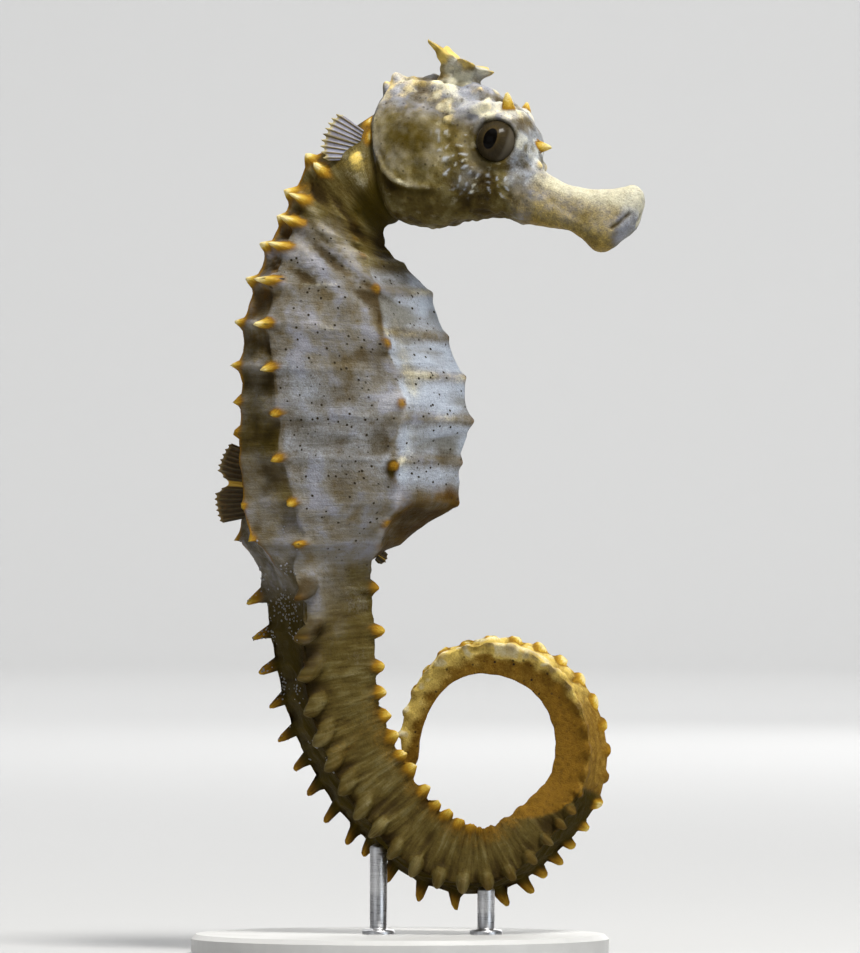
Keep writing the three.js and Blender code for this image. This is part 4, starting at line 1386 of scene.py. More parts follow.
class GeometryTree:
    """One Geometry Nodes tree, built with short calls."""

    def __init__(self, name: str) -> None:
        """Starts a tree with a geometry input and output."""
        self.tree = bpy.data.node_groups.new(name, "GeometryNodeTree")
        self.tree.is_modifier = True
        for way in ("INPUT", "OUTPUT"):
            self.tree.interface.new_socket("Geometry", in_out=way, socket_type="NodeSocketGeometry")
        self.start = self.tree.nodes.new("NodeGroupInput")
        self.end = self.tree.nodes.new("NodeGroupOutput")
        self.keys: dict[str, str] = {}

    def size(self, name: str, kind: str = "NodeSocketFloat") -> Value:
        """A named input of the tree."""
        self.keys[name] = self.tree.interface.new_socket(name, in_out="INPUT", socket_type=kind).identifier
        return Value(next(s for s in self.start.outputs if s.identifier == self.keys[name]))

    def node(self, kind: str, inputs: dict[str | int, Input], **options: object) -> Value:
        """A new node's first output."""
        return new_node(self.tree, kind, inputs, **options)

    def close(self, geometry: Value, material: Material) -> None:
        """Ends the tree in Realize Instances and Set Material."""
        real = self.node("GeometryNodeRealizeInstances", {"Geometry": geometry})
        dressed = self.node("GeometryNodeSetMaterial", {"Geometry": real, "Material": material})
        plug(self.end.inputs[0], dressed)

    def run(self, name: str, carrier: Mesh, sizes: dict[str, float]) -> Mesh:
        """The tree's result on a mesh, as a plain mesh of its own.

        Args:
            name: The new mesh's name.
            carrier: The mesh that the tree starts from.
            sizes: Values of the named inputs.

        Returns:
            The result, with no modifier left.
        """
        holder = linked(name + "_maker", carrier)
        modifier = holder.modifiers.new(name, "NODES")
        modifier.node_group = self.tree
        for key, value in sizes.items():
            modifier[self.keys[key]] = value
        depsgraph = bpy.context.evaluated_depsgraph_get()
        made = bpy.data.meshes.new_from_object(
            holder.evaluated_get(depsgraph), preserve_all_data_layers=True, depsgraph=depsgraph
        )
        made.name = name
        holder.modifiers.remove(modifier)
        bpy.data.objects.remove(holder)
        return made


# -------------------- finishes


@dataclass(frozen=True)
class SkinFinish:
    """Living skin over bony rings: taupe flanks, dark hollows in painted shade, pale and blue patches, golden
    spines, painted highlights on crests.
    """

    name: str = "seahorse_skin"
    taupe_stops: Stops = (
        (0.0, (0.085, 0.058, 0.024)),
        (0.38, (0.128, 0.1, 0.056)),
        (0.5, (0.18, 0.166, 0.142)),
        (0.6, (0.214, 0.214, 0.24)),
        (1.0, (0.29, 0.298, 0.34)),
    )
    olive_stops: Stops = (
        (0.0, (0.022, 0.013, 0.001)),
        (0.36, (0.054, 0.036, 0.007)),
        (0.52, (0.084, 0.06, 0.014)),
        (0.66, (0.121, 0.097, 0.036)),
        (1.0, (0.228, 0.207, 0.15)),
    )
    # the paints: beside the skin's own colours, dark also lays painted shade, and pale, yellow and blue also
    # lay painted highlights and sheen
    amber: Colour = (0.186, 0.096, 0.01)
    amber_deep: Colour = (0.15, 0.076, 0.008)
    yellow: Colour = (0.6, 0.44, 0.11)
    dark: Colour = (0.036, 0.024, 0.0006)
    blue: Colour = (0.35, 0.385, 0.445)
    pale: Colour = (0.56, 0.53, 0.39)
    speck: Colour = (0.026, 0.019, 0.01)
    # the spines from root to tip; the pale last stop is partly the tips' own colour, partly painted highlight
    spine_stops: Stops = (
        (0.0, (0.07, 0.032, 0.003)),
        (0.22, (0.145, 0.068, 0.005)),
        (0.5, (0.29, 0.15, 0.01)),
        (0.78, (0.5, 0.33, 0.042)),
        (1.0, (0.7, 0.59, 0.28)),
    )

    def make(self) -> Material:
        """The skin's material."""
        s = Shade(self.name)
        flow = s.attribute("flow", "Vector")
        cloud = s.noise(flow, 0.28, 4, 0.6)
        mottle = s.noise(flow, 1.6, 4, 0.65)
        blotch = s.noise(flow, 0.55, 5, 0.66)
        pores = s.noise(flow, 5.5, 3, 0.6)
        lines = s.noise(s.stretched(flow, 0.85, 0.13, 0.13), 1.0, 5, 0.62, 0.5)
        streaks = s.noise(s.stretched(flow, 2.7, 0.4, 0.4), 1.0, 3, 0.6, 0.4)
        folds = s.noise(s.stretched(flow, 1.9, 0.22, 0.22), 1.0, 3, 0.5, 0.6)
        streak, relief, gold = (s.attribute(name) for name in ("streak", "relief", "gold"))
        grit = pores * 0.6 + mottle * 0.4
        # the ground, with the paints laid over it, each with a broken edge; the ground is lighter on raised
        # skin and darker in hollows, as painted highlight and painted shade
        painted_relief_shade = (relief - 0.5) * 0.32
        tint = blotch + (lines - blotch) * streak.band(0.0, 1.1)
        tone = tint * 0.55 + cloud * 0.45 + (streaks - 0.5) * streak * 0.35
        grey = tint + (streaks - tint) * streak.band(0.0, 0.25, 0.0, 0.5)
        colour = s.ramp(tone + painted_relief_shade, self.taupe_stops)
        paints = (
            ("olive", 0.1, 0.9, s.ramp(grey + painted_relief_shade * 1.6, self.olive_stops)),
            ("amber", 0.1, 0.9, s.blend(mottle.band(0.32, 0.6), self.amber_deep, self.amber)),
            ("yellow", 0.1, 0.9, self.yellow),
            ("blue", 0.15, 1.0, self.blue),
            ("dark", 0.2, 0.9, self.dark),
            ("pale", 0.2, 0.95, self.pale),
        )
        edge = (mottle - 0.5) * 0.4 + (pores - 0.5) * 0.3
        for channel, low, high, paint in paints:
            colour = s.blend((s.attribute(channel) + edge).band(low, high), colour, paint)
        # light and dark streaks, painted shade in the hollows and painted highlights on the crests, and a
        # fine grit
        washes = (
            (streaks.band(0.52, 0.78) * streak * 0.4, (1.5, 1.45, 1.4)),
            (streaks.band(0.5, 0.25) * streak * 0.5, (0.55, 0.5, 0.42)),
            (relief.band(0.46, 0.15) * 0.75, (0.34, 0.27, 0.14)),
            (relief.band(0.58, 0.95, 0.0, 0.6), (1.75, 1.7, 1.58)),
            (grit.band(0.5, 0.32, 0.0, 0.5), (0.45, 0.4, 0.32)),
            (grit.band(0.52, 0.7, 0.0, 0.4), (1.7, 1.65, 1.55)),
        )
        for share, wash in washes:
            colour = s.blend(share, colour, wash, "MULTIPLY")
        spine = s.ramp(gold + (grit - 0.5) * 0.75, self.spine_stops)
        colour = s.blend(gold.band(0.06, 0.42), colour, spine)
        cells = new_node(s.tree, "ShaderNodeTexVoronoi", {"Vector": flow, "Scale": 1.15}, "Distance")
        dots = cells.band(0.21, 0.12) * s.noise(flow, 0.9, 2).band(0.36, 0.5) * s.attribute("speck")
        height = streaks * streak * 0.5 + folds * streak.band(0.0, 0.5) * 0.45 + pores * 0.22 + mottle * 0.35
        dull = s.attribute("dark").math("MAXIMUM", s.attribute("amber"))
        dull = dull.math("MAXIMUM", s.attribute("olive") * 0.7)
        gloss = grit.band(0.5, 0.66) * relief.band(0.5, 0.7, 0.06, 0.3) * dull.band(0.3, 0.75, 1.0, 0.0)
        return s.finish(
            Base_Color=s.blend(dots, colour, self.speck),
            Roughness=mottle.band(0.3, 0.7, 0.38, 0.58) + dull.band(0.3, 0.9, 0.0, 0.25),
            Normal=s.bump(height, 0.3, 0.95),
            Specular_IOR_Level=0.06,
            Subsurface_Weight=0.05,
            Subsurface_Radius=(0.9, 0.6, 0.4),
            Subsurface_Scale=0.0005,
            Coat_Weight=gloss,
            Coat_Roughness=0.22,
        )


@dataclass(frozen=True)
class FinFinish:
    """A thin fin: a stained membrane with darker or lighter rays, a pale edge and one bright ray."""

    name: str
    membrane: Colour
    ray: Colour
    edge: Colour
    bright: Colour

    def make(self) -> Material:
        """The fin's material."""
        s = Shade(self.name)
        ray, reach, span = (s.attribute(name) for name in ("ray", "reach", "span"))
        cloud = s.noise(s.place(*PER_MM), 1.4, 4, 0.6)
        colour = s.blend(ray.band(0.15, 0.75), self.membrane, self.ray)
        colour = s.blend(cloud.band(0.35, 0.75, 0.0, 0.6), colour, (0.55, 0.5, 0.42), "MULTIPLY")
        colour = s.blend(reach.band(0.82, 0.99), colour, self.edge)
        colour = s.blend((span - 0.5).math("ABSOLUTE").band(0.045, 0.02), colour, self.bright)
        return s.finish(
            Base_Color=colour,
            Roughness=0.4,
            Normal=s.bump(ray * 0.6 + cloud * 0.4, 0.08, 0.7),
            Subsurface_Weight=0.25,
            Subsurface_Radius=(1.0, 0.8, 0.6),
            Subsurface_Scale=0.0006,
            Specular_IOR_Level=0.15,
            Coat_Weight=0.05,
            Coat_Roughness=0.25,
        )


@dataclass(frozen=True)
class EyeFinish:
    """A wet dark eye: a black pupil in a brown iris under a clear gloss."""

    name: str = "seahorse_eye"
    pupil: Colour = (0.002, 0.0015, 0.001)
    iris: Colour = (0.026, 0.019, 0.009)
    iris_light: Colour = (0.042, 0.031, 0.014)
    ring: Colour = (0.085, 0.052, 0.01)
    white: Colour = (0.07, 0.058, 0.04)

    def make(self) -> Material:
        """The eye's material."""
        s = Shade(self.name)
        pupil = s.attribute("pupil")
        threads = s.noise(s.stretched(s.attribute("flow", "Vector"), 14.0, 1.2, 1.0), 1.0, 3, 0.6)
        colour = s.blend(threads.band(0.4, 0.75), self.iris, self.iris_light)
        colour = s.blend(pupil.band(2.1, 2.6), colour, self.white)
        colour = s.blend(pupil.band(1.6, 1.1, 0.0, 0.22), colour, self.ring)
        colour = s.blend(pupil.band(1.08, 0.97), colour, self.pupil)
        return s.finish(
            Base_Color=colour,
            Roughness=0.25,
            Specular_IOR_Level=0.03,
            Coat_Weight=0.14,
            Coat_Roughness=0.05,
            Coat_IOR=1.34,
        )


@dataclass(frozen=True)
class WartFinish:
    """Milky grey warts."""

    name: str = "wart_skin"
    milky: Colour = (0.21, 0.21, 0.23)
    dull: Colour = (0.15, 0.14, 0.12)

    def make(self) -> Material:
        """The warts' material."""
        s = Shade(self.name)
        place = s.place(*PER_MM)
        colour = s.blend(s.noise(place, 1.5, 2, 0.5).band(0.35, 0.65), self.dull, self.milky)
        return s.finish(Base_Color=colour, Roughness=0.4, Normal=s.bump(s.noise(place, 9.0), 0.02, 0.6))


@dataclass(frozen=True)
class PaintFinish:
    """Matt paint on a metal plate, with a fine orange peel and worn patches in soft clouds."""

    name: str = "stand_paint"
    coat: Colour = (0.56, 0.555, 0.54)
    worn: Colour = (0.44, 0.435, 0.42)

    def make(self) -> Material:
        """The paint's material."""
        s = Shade(self.name)
        place = s.place(*PER_MM)
        cloud = s.noise(place, 0.12, 3, 0.5)
        return s.finish(
            Base_Color=s.blend(cloud.band(0.4, 0.75, 0.0, 0.5), self.coat, self.worn),
            Roughness=cloud.band(0.3, 0.7, 0.42, 0.55),
            Normal=s.bump(s.noise(place, 3.0, 2, 0.5), 0.03, 0.5),
        )


@dataclass(frozen=True)
class SteelFinish:
    """Satin steel, brushed round the rod."""

    name: str = "stand_steel"
    light: Colour = (0.64, 0.64, 0.65)
    dark: Colour = (0.46, 0.46, 0.47)

    def make(self) -> Material:
        """The steel's material."""
        s = Shade(self.name)
        lines = s.noise(s.place(600, 600, 9000), 1.0, 3, 0.6)
        colour = s.blend(lines.band(0.3, 0.7), self.dark, self.light)
        rough = lines.band(0.3, 0.7, 0.26, 0.4)
        return s.finish(Base_Color=colour, Metallic=1.0, Roughness=rough, Normal=s.bump(lines, 0.01, 0.4))


@dataclass(frozen=True)
class BackdropFinish:
    """Pale seamless paper."""

    name: str = "backdrop_paper"
    colour: Colour = (0.45, 0.45, 0.447)

    def make(self) -> Material:
        """The paper's material."""
        s = Shade(self.name)
        cloud = s.noise(s.place(), 9.0, 2, 0.5)
        shade = tuple(c * 0.985 for c in self.colour)
        return s.finish(Base_Color=s.blend(cloud, self.colour, shade), Roughness=0.9)


# -------------------- the animal's pieces


def joined(halves: Sequence[Half], name: str) -> Array:
    """The places, the flow or a mask over the whole way round, from its two sides."""
    left, right = ({"point": half.point, "flow": half.flow(), **half.paint}[name] for half in halves)
    return np.concatenate([left, right[:, -2:0:-1]], 1)


@dataclass
class Skin:
    """The one skin of the whole animal, from the mouth to the tip of the tail."""

    body: BodySkin
    head: HeadSkin
    markings: Markings
    finish: SkinFinish = field(default_factory=SkinFinish)
    lip_rows: int = 2
    # each row inside the lips: its size against the lips' and how far forward it lies
    mouth_rows: Knots = ((0.7, 0.06), (0.42, -0.02), (0.28, -0.4), (0.1, -0.6))
    nodes: tuple[str, ...] = (
        "neck", "trunk_upper", "trunk_middle", "trunk_lower", "tail_root", "tail_upper", "tail_middle",
        "tail_bend", "tail_coil_lower", "tail_coil_front", "tail_coil_top", "tail_tip", "head", "snout",
    )
    material: Material = field(init=False)

    def build(self) -> Object:
        """Makes the skin's mesh and puts it in the scene."""
        bodies = [self.body.build_half(side, self.head.neck_outline) for side in SIDES]
        heads = [self.head.build_half(side) for side in SIDES]
        for body, head in zip(bodies, heads, strict=True):
            body.paint.update(self.markings.on_body(body))
            head.paint.update(self.markings.on_head(head))
        names = ("point", "flow", *self.markings.channels)
        body, head = ({name: joined(halves, name) for name in names} for halves in (bodies, heads))
        (rows, columns), (head_rows, head_columns) = (part["point"].shape[:2] for part in (body, head))
        start = rows * columns
        tip = start + head_rows * head_columns
        mouth = self._mouth(head["point"][-1])
        grids = (part["point"].reshape(-1, 3) for part in (body, head))
        points = np.vstack([*grids, body["point"][-1].mean(0), mouth])
        faces = grid_faces(rows, columns) + grid_faces(head_rows, head_columns, start)
        for k in range(columns):
            after = (k + 1) % columns
            near, middle, far = (start + (2 * k + i) % head_columns for i in range(3))
            faces += [[k, near, middle], [k, middle, after], [after, middle, far]]
        faces += fan_faces((rows - 1) * columns, columns, tip)
        # the mouth's rows go on from the head's last one, past the tip of the tail
        depth = len(self.mouth_rows)
        inside = grid_faces(depth + 1, head_columns, tip - head_columns)
        inside += fan_faces(tip + (depth - 1) * head_columns, head_columns, tip + depth * head_columns)
        faces += [[vertex + (vertex >= tip) for vertex in face] for face in inside]
        attributes = {}
        for name in names[1:]:
            shape = (-1, 3) if name == "flow" else -1
            values = np.concatenate([part[name].reshape(shape) for part in (body, head)])
            within = np.repeat(values[-1:], len(mouth), axis=0)
            # inside the lips the mouth is painted fully dark, as painted shade in the opening
            if name in ("dark", "pale"):
                within[self.lip_rows * head_columns :] = 1.0 * (name == "dark")
            attributes[name] = np.concatenate([values, body[name][-1:, 0], within])
        self.material = self.finish.make()
        mesh = new_mesh("skin", points, faces, self.material, attributes)
        return as_piece("skin", mesh, self.nodes)

    def _mouth(self, rim: Array) -> Array:
        """Places of the small mouth inside the lips, row after row and then the point that closes it.

        Args:
            rim: The last row of the head's grid.

        Returns:
            The places.
        """
        middle = rim.mean(0)
        forward = self.head.line.head.turned((1, 0, 0))
        rows = [middle + (rim - middle) * size + forward * depth for size, depth in self.mouth_rows]
        return np.vstack([*rows, middle + forward * self.mouth_rows[-1][1]])


@dataclass
class Coronet:
    """The crown on the head: a short stalk that opens into a star of spiny points."""

    place: HeadPlace
    centre_x: float = -7.6
    rows: int = 56
    columns: int = 100
    points: int = 5
    # height, half length, half width, how far the star's points are drawn out
    profile: tuple[tuple[float, float, float, float], ...] = (
        (3.2, 2.7, 2.5, 0), (4.4, 2.6, 2.3, 0), (5, 2.2, 1.9, 0.2), (5.4, 2, 1.7, 0.5), (5.9, 2, 1.7, 1.2),
        (6.3, 2.2, 1.9, 1.9), (6.7, 2.3, 2, 2.3), (6.85, 2, 1.8, 1.9), (6.8, 1.5, 1.3, 0.9),
        (6.6, 1, 0.9, 0.3), (6.6, 0.4, 0.4, 0),
    )

    def build(self, material: Material) -> Object:
        """Makes the coronet in the skin's own finish."""
        knots = np.array([[i, *row] for i, row in enumerate(self.profile)])
        height, length, width, drawn = through(knots, np.linspace(0, len(knots) - 1, self.rows)).T[..., None]
        angle = np.linspace(0, 2 * math.pi, self.columns, endpoint=False)
        star = 1 - np.abs(np.arcsin(np.sin(self.points * angle / 2))) * 2 / math.pi
        lean = 0.5 - 0.5 * np.cos(angle)
        reach = drawn * star * (0.45 + 0.85 * lean)
        x = self.centre_x + (length + reach) * np.cos(angle)
        y = (width + reach) * np.sin(angle)
        z = height + reach * (0.22 + 0.33 * lean) + 0.06 * length * np.cos(angle)
        rows = np.stack([x, y, z], -1)
        rows += (0.2 * grain(rows, 1, 51) + 0.08 * grain(rows, 0.5, 53))[..., None] * (1, 1, 0.7)
        rise = smooth(0.1, 1.3, reach)
        paint = {
            "pale": (0.66 + 0.4 * grain(rows, 1.1, 52)) * (1 - 0.8 * rise),
            "dark": 0.05,
            "olive": 0.15,
            "amber": 0.3 * rise * (1 + grain(rows, 0.7, 56)),
            "blue": (0.35 + 0.3 * grain(rows, 1.5, 54)) * (1 - rise),
            "yellow": most(rise, 0.7 * smooth(0.6, 0.98, lean)) * (0.88 + 0.4 * grain(rows, 0.8, 55)),
            "gold": 0.0,
            "speck": 0.1,
            "streak": 0.1,
            "relief": 0.5 + 0.4 * grain(rows, 0.9, 51),
            "wart": 0.0,
        }
        ends = (0.3, 0.3)
        attributes = {key: np.append(np.broadcast_to(mask, x.shape), ends) for key, mask in paint.items()}
        flow = np.stack(np.broadcast_arrays(-24 - 3 * rows[..., 2], angle * 2.5, 0.0), -1)
        attributes["flow"] = np.vstack([flow.reshape(-1, 3), np.zeros((2, 3))])
        points, faces = closed_loft(rows)
        mesh = new_mesh("coronet_skin", self.place.out(points), faces, material, attributes)
        return as_piece("coronet_skin", mesh, ("coronet",))


@dataclass
class Eyes:
    """The two eyes: dark balls with a standing oval pupil."""

    head: HeadSkin
    finish: EyeFinish = field(default_factory=EyeFinish)
    rows: int = 48
    columns: int = 64
    pupil_half: Pair = (0.75, 1.15)
    look: Pair = (-0.2, 0.05)
    # past this share of the radius the ball bulges out into the cornea
    bulge_from: float = 0.86
    bulge: float = 1.25
    behind: float = 5.0

    def build(self) -> None:
        """Makes both eyes."""
        material = self.finish.make()
        polar = np.linspace(0.02, math.pi - 0.02, self.rows)[:, None]
        angle = np.linspace(0, 2 * math.pi, self.columns, endpoint=False)[None, :]
        r = self.head.eye_radius
        x, z = r * np.sin(polar) * np.cos(angle), r * np.sin(polar) * np.sin(angle)
        y = r * np.cos(polar) + 0 * angle
        brim = self.bulge_from * r
        y = np.where(y > brim, brim + (y - brim) * self.bulge, y)
        pupil = np.hypot((x - self.look[0]) / self.pupil_half[0], (z - self.look[1]) / self.pupil_half[1])
        pupil = np.where(y < 0, self.behind, pupil)
        flow = np.stack([np.broadcast_to(angle, x.shape), np.hypot(x, z), np.zeros_like(x)], -1)
        attributes = {
            "pupil": np.append(pupil, (0.3, self.behind)),
            "flow": np.vstack([flow.reshape(-1, 3), np.zeros((2, 3))]),
        }
        for side, label in SIDES.items():
            points, faces = closed_loft((np.stack([x, y, z], -1) + self.head.eye) * (1, side, 1))
            mesh = new_mesh(f"eyeball_{label}", self.head.line.head.out(points), faces, material, attributes)
            as_piece(f"eyeball_{label}", mesh, (f"eye_{label}",))


def fan_tree(material: Material) -> GeometryTree:
    """The node tree of a rayed fin: rays fan out from a base line, with a thin membrane between them."""
    t = GeometryTree("rayed_fin")
    rays = t.size("Rays", "NodeSocketInt")
    height, base, start, end = map(t.size, ("Height", "Base", "Start angle", "End angle"))
    fullness, notch, gap, skin = map(t.size, ("Fullness", "Notch", "Gap", "Membrane"))
    rib, ripple, curl = map(t.size, ("Rib", "Ripple", "Curl"))
    shape = {"Size": (1, 1, 1), "Vertices X": rays * 8 + 1, "Vertices Y": 22, "Vertices Z": 2}
    block = t.node("GeometryNodeMeshCube", shape)
    place = t.node("ShaderNodeSeparateXYZ", {0: t.node("GeometryNodeInputPosition", {})})
    # u runs along the base and v out along the rays, both from 0 to 1
    u, v, side = place + 0.5, place.other(1) + 0.5, place.other(2)
    wave = (u * rays * (2 * math.pi)).math("COSINE")
    ray = wave.math("MULTIPLY_ADD", -0.5, 0.5) ** 2.5
    middle = (u - 0.5).math("ABSOLUTE")
    cleft = 1.0 - gap * middle.math("MULTIPLY_ADD", -7.0, 1.0).math("MAXIMUM", 0.0)
    arch = u.math("MULTIPLY_ADD", 0.78 * math.pi, 0.11 * math.pi).math("SINE") ** fullness
    reach = height * arch * cleft * (1.0 - notch * (1.0 - ray) * v * v) * v
    angle = start + (end - start) * u
    x = base * (u - 0.5) + reach * angle.math("SINE")
    y = reach * angle.math("COSINE")
    thick = skin + rib * ray * v.math("MULTIPLY_ADD", -0.6, 1.0)
    z = side * thick + ripple * v * (u * 11.0).math("SINE") + curl * v * v
    for name, value in (("ray", ray), ("reach", v), ("span", u)):
        block = t.node("GeometryNodeStoreNamedAttribute", {"Geometry": block, "Name": name, "Value": value})
    shaped = t.node("ShaderNodeCombineXYZ", {0: x, 1: y, 2: z})
    moved = t.node("GeometryNodeSetPosition", {"Geometry": block, "Position": shaped})
    t.close(t.node("GeometryNodeSetShadeSmooth", {"Geometry": moved}), material)
    return t


@dataclass(frozen=True)
class Fan:
    """One fin's sizes, in millimetres and degrees, named as the inputs of the fin tree."""

    rays: int
    height: float
    base: float
    start_angle: float
    end_angle: float
    fullness: float = 0.6
    notch: float = 0.12
    gap: float = 0.0
    membrane: float = 0.1
    rib: float = 0.22
    ripple: float = 0.12
    curl: float = 0.0

    def build(self, name: str, tree: GeometryTree, foot: Array, along: Array, out: Array) -> None:
        """Makes the fin in place, in the CAD fin's stead.

        Args:
            name: The CAD fin's node.
            tree: The fin node tree.
            foot: The middle of the fin's base.
            along: The way the base runs.
            out: The way the rays stand.
        """
        piece = name.replace("_fin", "_fan")
        sizes = {key.capitalize().replace("_", " "): value for key, value in asdict(self).items()}
        sizes.update({key: math.radians(sizes[key]) for key in ("Start angle", "End angle")})
        mesh = tree.run(piece, bpy.data.meshes.new(piece + "_carrier"), sizes)
        x = unit(along)
        y = unit(out - x * np.dot(out, x))
        place = Matrix(np.vstack([np.column_stack([x, y, np.cross(x, y), foot]), [0, 0, 0, 1]]).tolist())
        mesh.transform(Matrix.Scale(MM, 4) @ place)
        as_piece(piece, mesh, (name,))


@dataclass
class Fins:
    """The dorsal, anal and two pectoral fins."""

    line: BodyLine
    dorsal_ring: float = 9.6
    anal_ring: float = 11.25
    pectoral_ring: float = 0.25
    dorsal: Fan = Fan(15, 3.7, 7.4, -16, 18, fullness=0.32, notch=0.08, gap=0.42, ripple=0.16)
    pectoral: Fan = Fan(9, 4.2, 3.4, -18, 20, fullness=0.22, notch=0.12, ripple=0.16, curl=0.35)
    anal: Fan = Fan(4, 1.25, 1.3, -12, 12, membrane=0.12, rib=0.16)
    dorsal_finish: FinFinish = FinFinish(
        "dorsal_fin", (0.03, 0.022, 0.008), (0.08, 0.058, 0.02), (0.12, 0.085, 0.03), (0.48, 0.31, 0.04)
    )
    pectoral_finish: FinFinish = FinFinish(
        "pectoral_fin", (0.26, 0.265, 0.33), (0.11, 0.085, 0.035), (0.36, 0.3, 0.14), (0.11, 0.085, 0.035)
    )

    def build(self) -> None:
        """Makes all four fins."""
        dark, light = (fan_tree(finish.make()) for finish in (self.dorsal_finish, self.pectoral_finish))
        f = self.line.at(self.dorsal_ring)
        along = self.line.at(10.2).centre - self.line.at(9.0).centre
        self.dorsal.build("dorsal_fin", dark, f.centre - f.belly * (0.94 * f.depth + 0.1), along, -f.belly)
        f = self.line.at(self.anal_ring)
        out = f.belly + (0.0, 0.0, -0.6)
        self.anal.build("anal_fin", dark, f.centre + f.belly * (f.depth - 0.75), np.cross(f.left, out), out)
        f = self.line.at(self.pectoral_ring)
        down = unit(self.line.at(0.4).centre - self.line.at(0.0).centre)
        for side, label in SIDES.items():
            foot = f.centre - f.belly * 0.52 * f.depth + f.left * side * 0.86 * f.width
            out = 1.1 * down - 0.38 * f.belly + f.left * side * 0.4
            self.pectoral.build(f"pectoral_fin_{label}", light, foot, 0.62 * down + 0.6 * f.belly, out)


@dataclass
class Warts:
    """Tiny pale warts scattered over the dark skin of the hip, whose darkness is partly painted shade."""

    density: float = 4.5
    size: Pair = (0.07, 0.15)
    seed: int = 5
    finish: WartFinish = field(default_factory=WartFinish)

    def build(self, skin: Object) -> None:
        """Scatters the warts over the skin with a node tree."""
        t = GeometryTree("scattered_warts")
        density, small, large = map(t.size, ("Density", "Smallest", "Largest"))
        seed = t.size("Seed", "NodeSocketInt")
        weight = t.node("GeometryNodeInputNamedAttribute", {"Name": "wart"}, data_type="FLOAT")
        surface = {"Mesh": Value(t.start.outputs[0]), "Density": density * weight * 1e6, "Seed": seed}
        points = t.node("GeometryNodeDistributePointsOnFaces", surface)
        ball = t.node("GeometryNodeMeshUVSphere", {"Segments": 8, "Rings": 6, "Radius": 1.0})
        ball = t.node("GeometryNodeSetShadeSmooth", {"Geometry": ball})
        limits = {2: small, 3: large, "Seed": seed}
        size = t.node("FunctionNodeRandomValue", limits, data_type="FLOAT").other(1)
        scale = t.node("ShaderNodeCombineXYZ", {0: size, 1: size, 2: size * 0.8})
        scattered = {"Points": points, "Instance": ball, "Rotation": points.other(2), "Scale": scale}
        t.close(t.node("GeometryNodeInstanceOnPoints", scattered), self.finish.make())
        smallest, largest = (size * MM for size in self.size)
        sizes = {"Density": self.density, "Smallest": smallest, "Largest": largest, "Seed": self.seed}
        as_piece("skin_warts", t.run("skin_warts", skin.data.copy(), sizes), ())


# -------------------- the stand


@dataclass(frozen=True)
class Rod:
    """A short rod of the stand that rises to the tail."""

    node: str
    at: Pair
    radius: float = 0.95


@dataclass
class Stand:
    """The painted base and its two steel rods."""

    base_top: float = 2.2
    sunk: float = 0.35
    rods: tuple[Rod, ...] = (Rod("stand_rod_rear", (-2.29, -1.12)), Rod("stand_rod_front", (9.53, -0.7)))
    paint: PaintFinish = field(default_factory=PaintFinish)
    steel: SteelFinish = field(default_factory=SteelFinish)

    def build(self, skin: Object) -> None:
        """Makes the rods up to the skin, and paints the base."""
        steel = self.steel.make()
        heights = np.empty(len(skin.data.vertices) * 3)
        skin.data.vertices.foreach_get("co", heights)
        points = heights.reshape(-1, 3) / MM
        for rod in self.rods:
            near = np.hypot(points[:, 0] - rod.at[0], points[:, 1] - rod.at[1]) < 0.8 * rod.radius
            top = points[near, 2].min() + self.sunk
            self._rod(rod, top, steel)
        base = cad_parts["stand_base"]
        base.data.materials.clear()
        base.data.materials.append(self.paint.make())

    def _rod(self, rod: Rod, top: float, material: Material) -> None:
        """Turns one rod, with a small collar at its foot and a rounded end."""
        r, z0 = rod.radius, self.base_top
        dome = [(r * math.cos(a), top - r * 0.6 + r * 0.6 * math.sin(a)) for a in np.linspace(0.1, 1.5, 7)]
        outline = [
            (r + 0.75, z0 - 0.4), (r + 0.85, z0 - 0.1), (r + 0.85, z0 + 0.35), (r + 0.7, z0 + 0.5),
            (r + 0.12, z0 + 0.55), (r, z0 + 0.68), (r, mix(z0, top, 0.5)), (r, top - r * 0.6), *dome,
        ]
        turn = np.linspace(0, 2 * math.pi, 48, endpoint=False)
        x, y = rod.at
        rows = np.array([[(x + q * math.cos(a), y + q * math.sin(a), z) for a in turn] for q, z in outline])
        points, faces = closed_loft(rows)
        name = rod.node + "_turned"
        as_piece(name, new_mesh(name, points, faces, material), (rod.node,))


# -------------------- the stage


@dataclass(frozen=True)
class SoftLight:
    """A square area light aimed at the animal."""

    name: str
    at: Triple
    size: float
    power: float
    colour: Colour = (1.0, 1.0, 1.0)
    aim: Triple = (0.003, 0.0, 0.055)

    def build(self) -> None:
        """Makes the light."""
        data = bpy.data.lights.new(self.name, "AREA")
        data.shape = "SQUARE"
        data.size = self.size
        data.energy = self.power
        data.color = self.colour
        lamp = linked(self.name, data)
        lamp.visible_camera = False
        lamp.location = self.at
        lamp.rotation_euler = (Vector(self.aim) - Vector(self.at)).to_track_quat("-Z", "Y").to_euler()


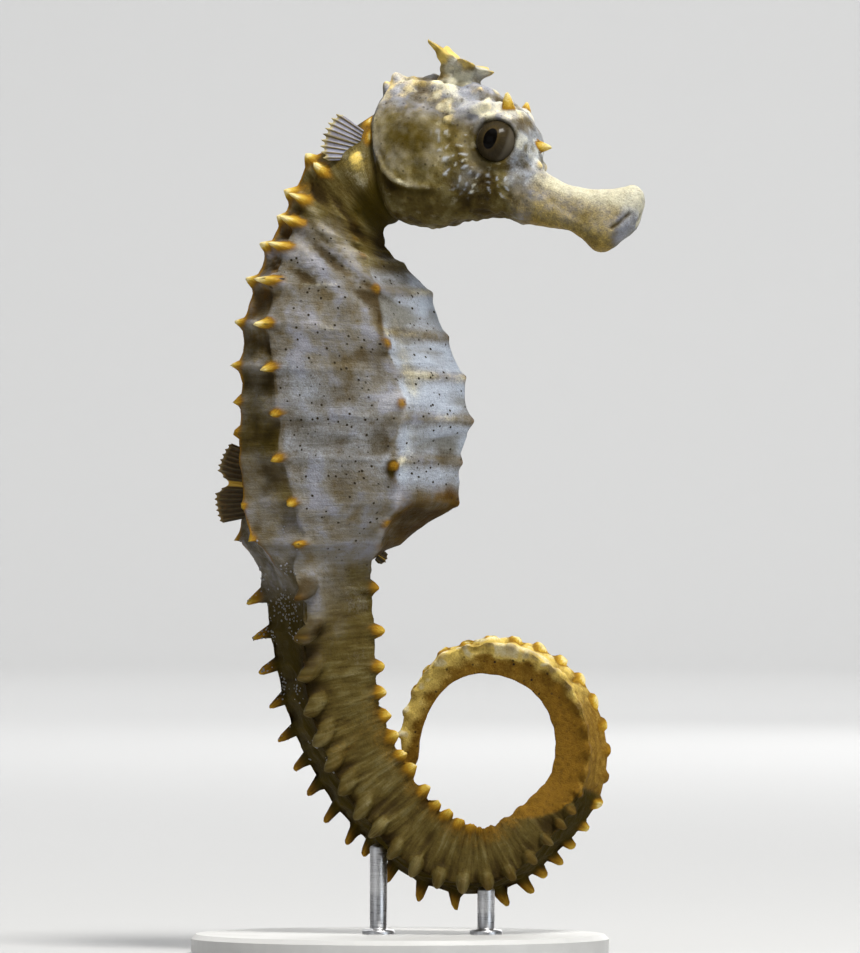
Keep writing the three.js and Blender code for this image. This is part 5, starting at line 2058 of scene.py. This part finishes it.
@dataclass
class Studio:
    """Paper sweep, lights, sky and camera."""

    turn: float = 4.0
    distance: float = 1.2
    across: float = 0.0946
    aim: Pair = (0.0033, 0.0525)
    sky: float = 0.2
    lights: tuple[SoftLight, ...] = (
        SoftLight("key", (0.14, -0.2, 0.5), 0.13, 3.3, (1.0, 0.985, 0.95)),
        SoftLight("fill", (-0.84, -0.92, 0.3), 0.9, 1.36, (0.93, 0.96, 1.0)),
        SoftLight("cool", (0.84, -0.68, 0.3), 0.6, 2.2, (0.84, 0.92, 1.0)),
        SoftLight("ceiling", (0.0, 0.0, 3.0), 4.0, 32.0, aim=(0.0, 0.0, 0.0)),
        SoftLight("rim", (-0.3, 0.3, 0.3), 0.3, 0.35),
        SoftLight("left", (0.3, 0.9, 0.4), 0.6, 2.4),
        SoftLight("wall", (0.0, 1.0, 1.5), 0.9, 34.0, aim=(0.0, 2.25, 0.2)),
    )
    paper: BackdropFinish = field(default_factory=BackdropFinish)

    def build(self) -> None:
        """Sets everything up."""
        bpy.context.scene.view_settings.view_transform = "Standard"
        self._sweep()
        for light in self.lights:
            light.build()
        world = bpy.context.scene.world or bpy.data.worlds.new("sky")
        bpy.context.scene.world = world
        world.use_nodes = True
        background = next(n for n in world.node_tree.nodes if n.type == "BACKGROUND")
        background.inputs["Color"].default_value = (0.97, 0.98, 1.0, 1.0)
        background.inputs["Strength"].default_value = self.sky
        angle = math.radians(self.turn)
        data = bpy.data.cameras.new("camera")
        data.sensor_fit = "HORIZONTAL"
        data.sensor_width = 36.0
        data.lens = 36.0 * self.distance / self.across
        data.clip_start, data.clip_end = 0.1, 20.0
        camera = linked("camera", data)
        target = Vector((self.aim[0] * math.cos(angle), self.aim[0] * math.sin(angle), self.aim[1]))
        camera.location = target + self.distance * Vector((math.sin(angle), -math.cos(angle), 0))
        camera.rotation_euler = (math.pi / 2, 0, angle)
        bpy.context.scene.camera = camera

    def _sweep(self) -> None:
        """A paper sweep: floor, a round bend and a wall."""
        near, bend, radius, tall = -4.0, 1.8, 0.45, 2.6
        profile = [(near, 0.0), (bend, 0.0)]
        for a in np.linspace(0, math.pi / 2, 25)[1:]:
            profile.append((bend + radius * math.sin(a), radius - radius * math.cos(a)))
        profile.append((bend + radius, tall))
        half = 4.0
        points = np.array([(x, y, z) for y, z in profile for x in (-half, half)])
        faces = [(2 * i, 2 * i + 1, 2 * i + 3, 2 * i + 2) for i in range(len(profile) - 1)]
        mesh = bpy.data.meshes.new("paper_sweep")
        mesh.from_pydata(points.tolist(), [], faces)
        mesh.polygons.foreach_set("use_smooth", [True] * len(mesh.polygons))
        mesh.materials.append(self.paper.make())
        linked("paper_sweep", mesh)


def main() -> None:
    """Builds the seahorse, its stand and the studio."""
    line = BodyLine()
    head = HeadSkin(line)
    skin = Skin(BodySkin(line), head, Markings(line.head))
    body = skin.build()
    Coronet(line.head).build(skin.material)
    Eyes(head).build()
    Fins(line).build()
    Warts().build(body)
    Stand().build(body)
    Studio().build()


if __name__ == "__main__":
    logging.basicConfig(level=logging.INFO, format="%(name)s: %(message)s")
    main()
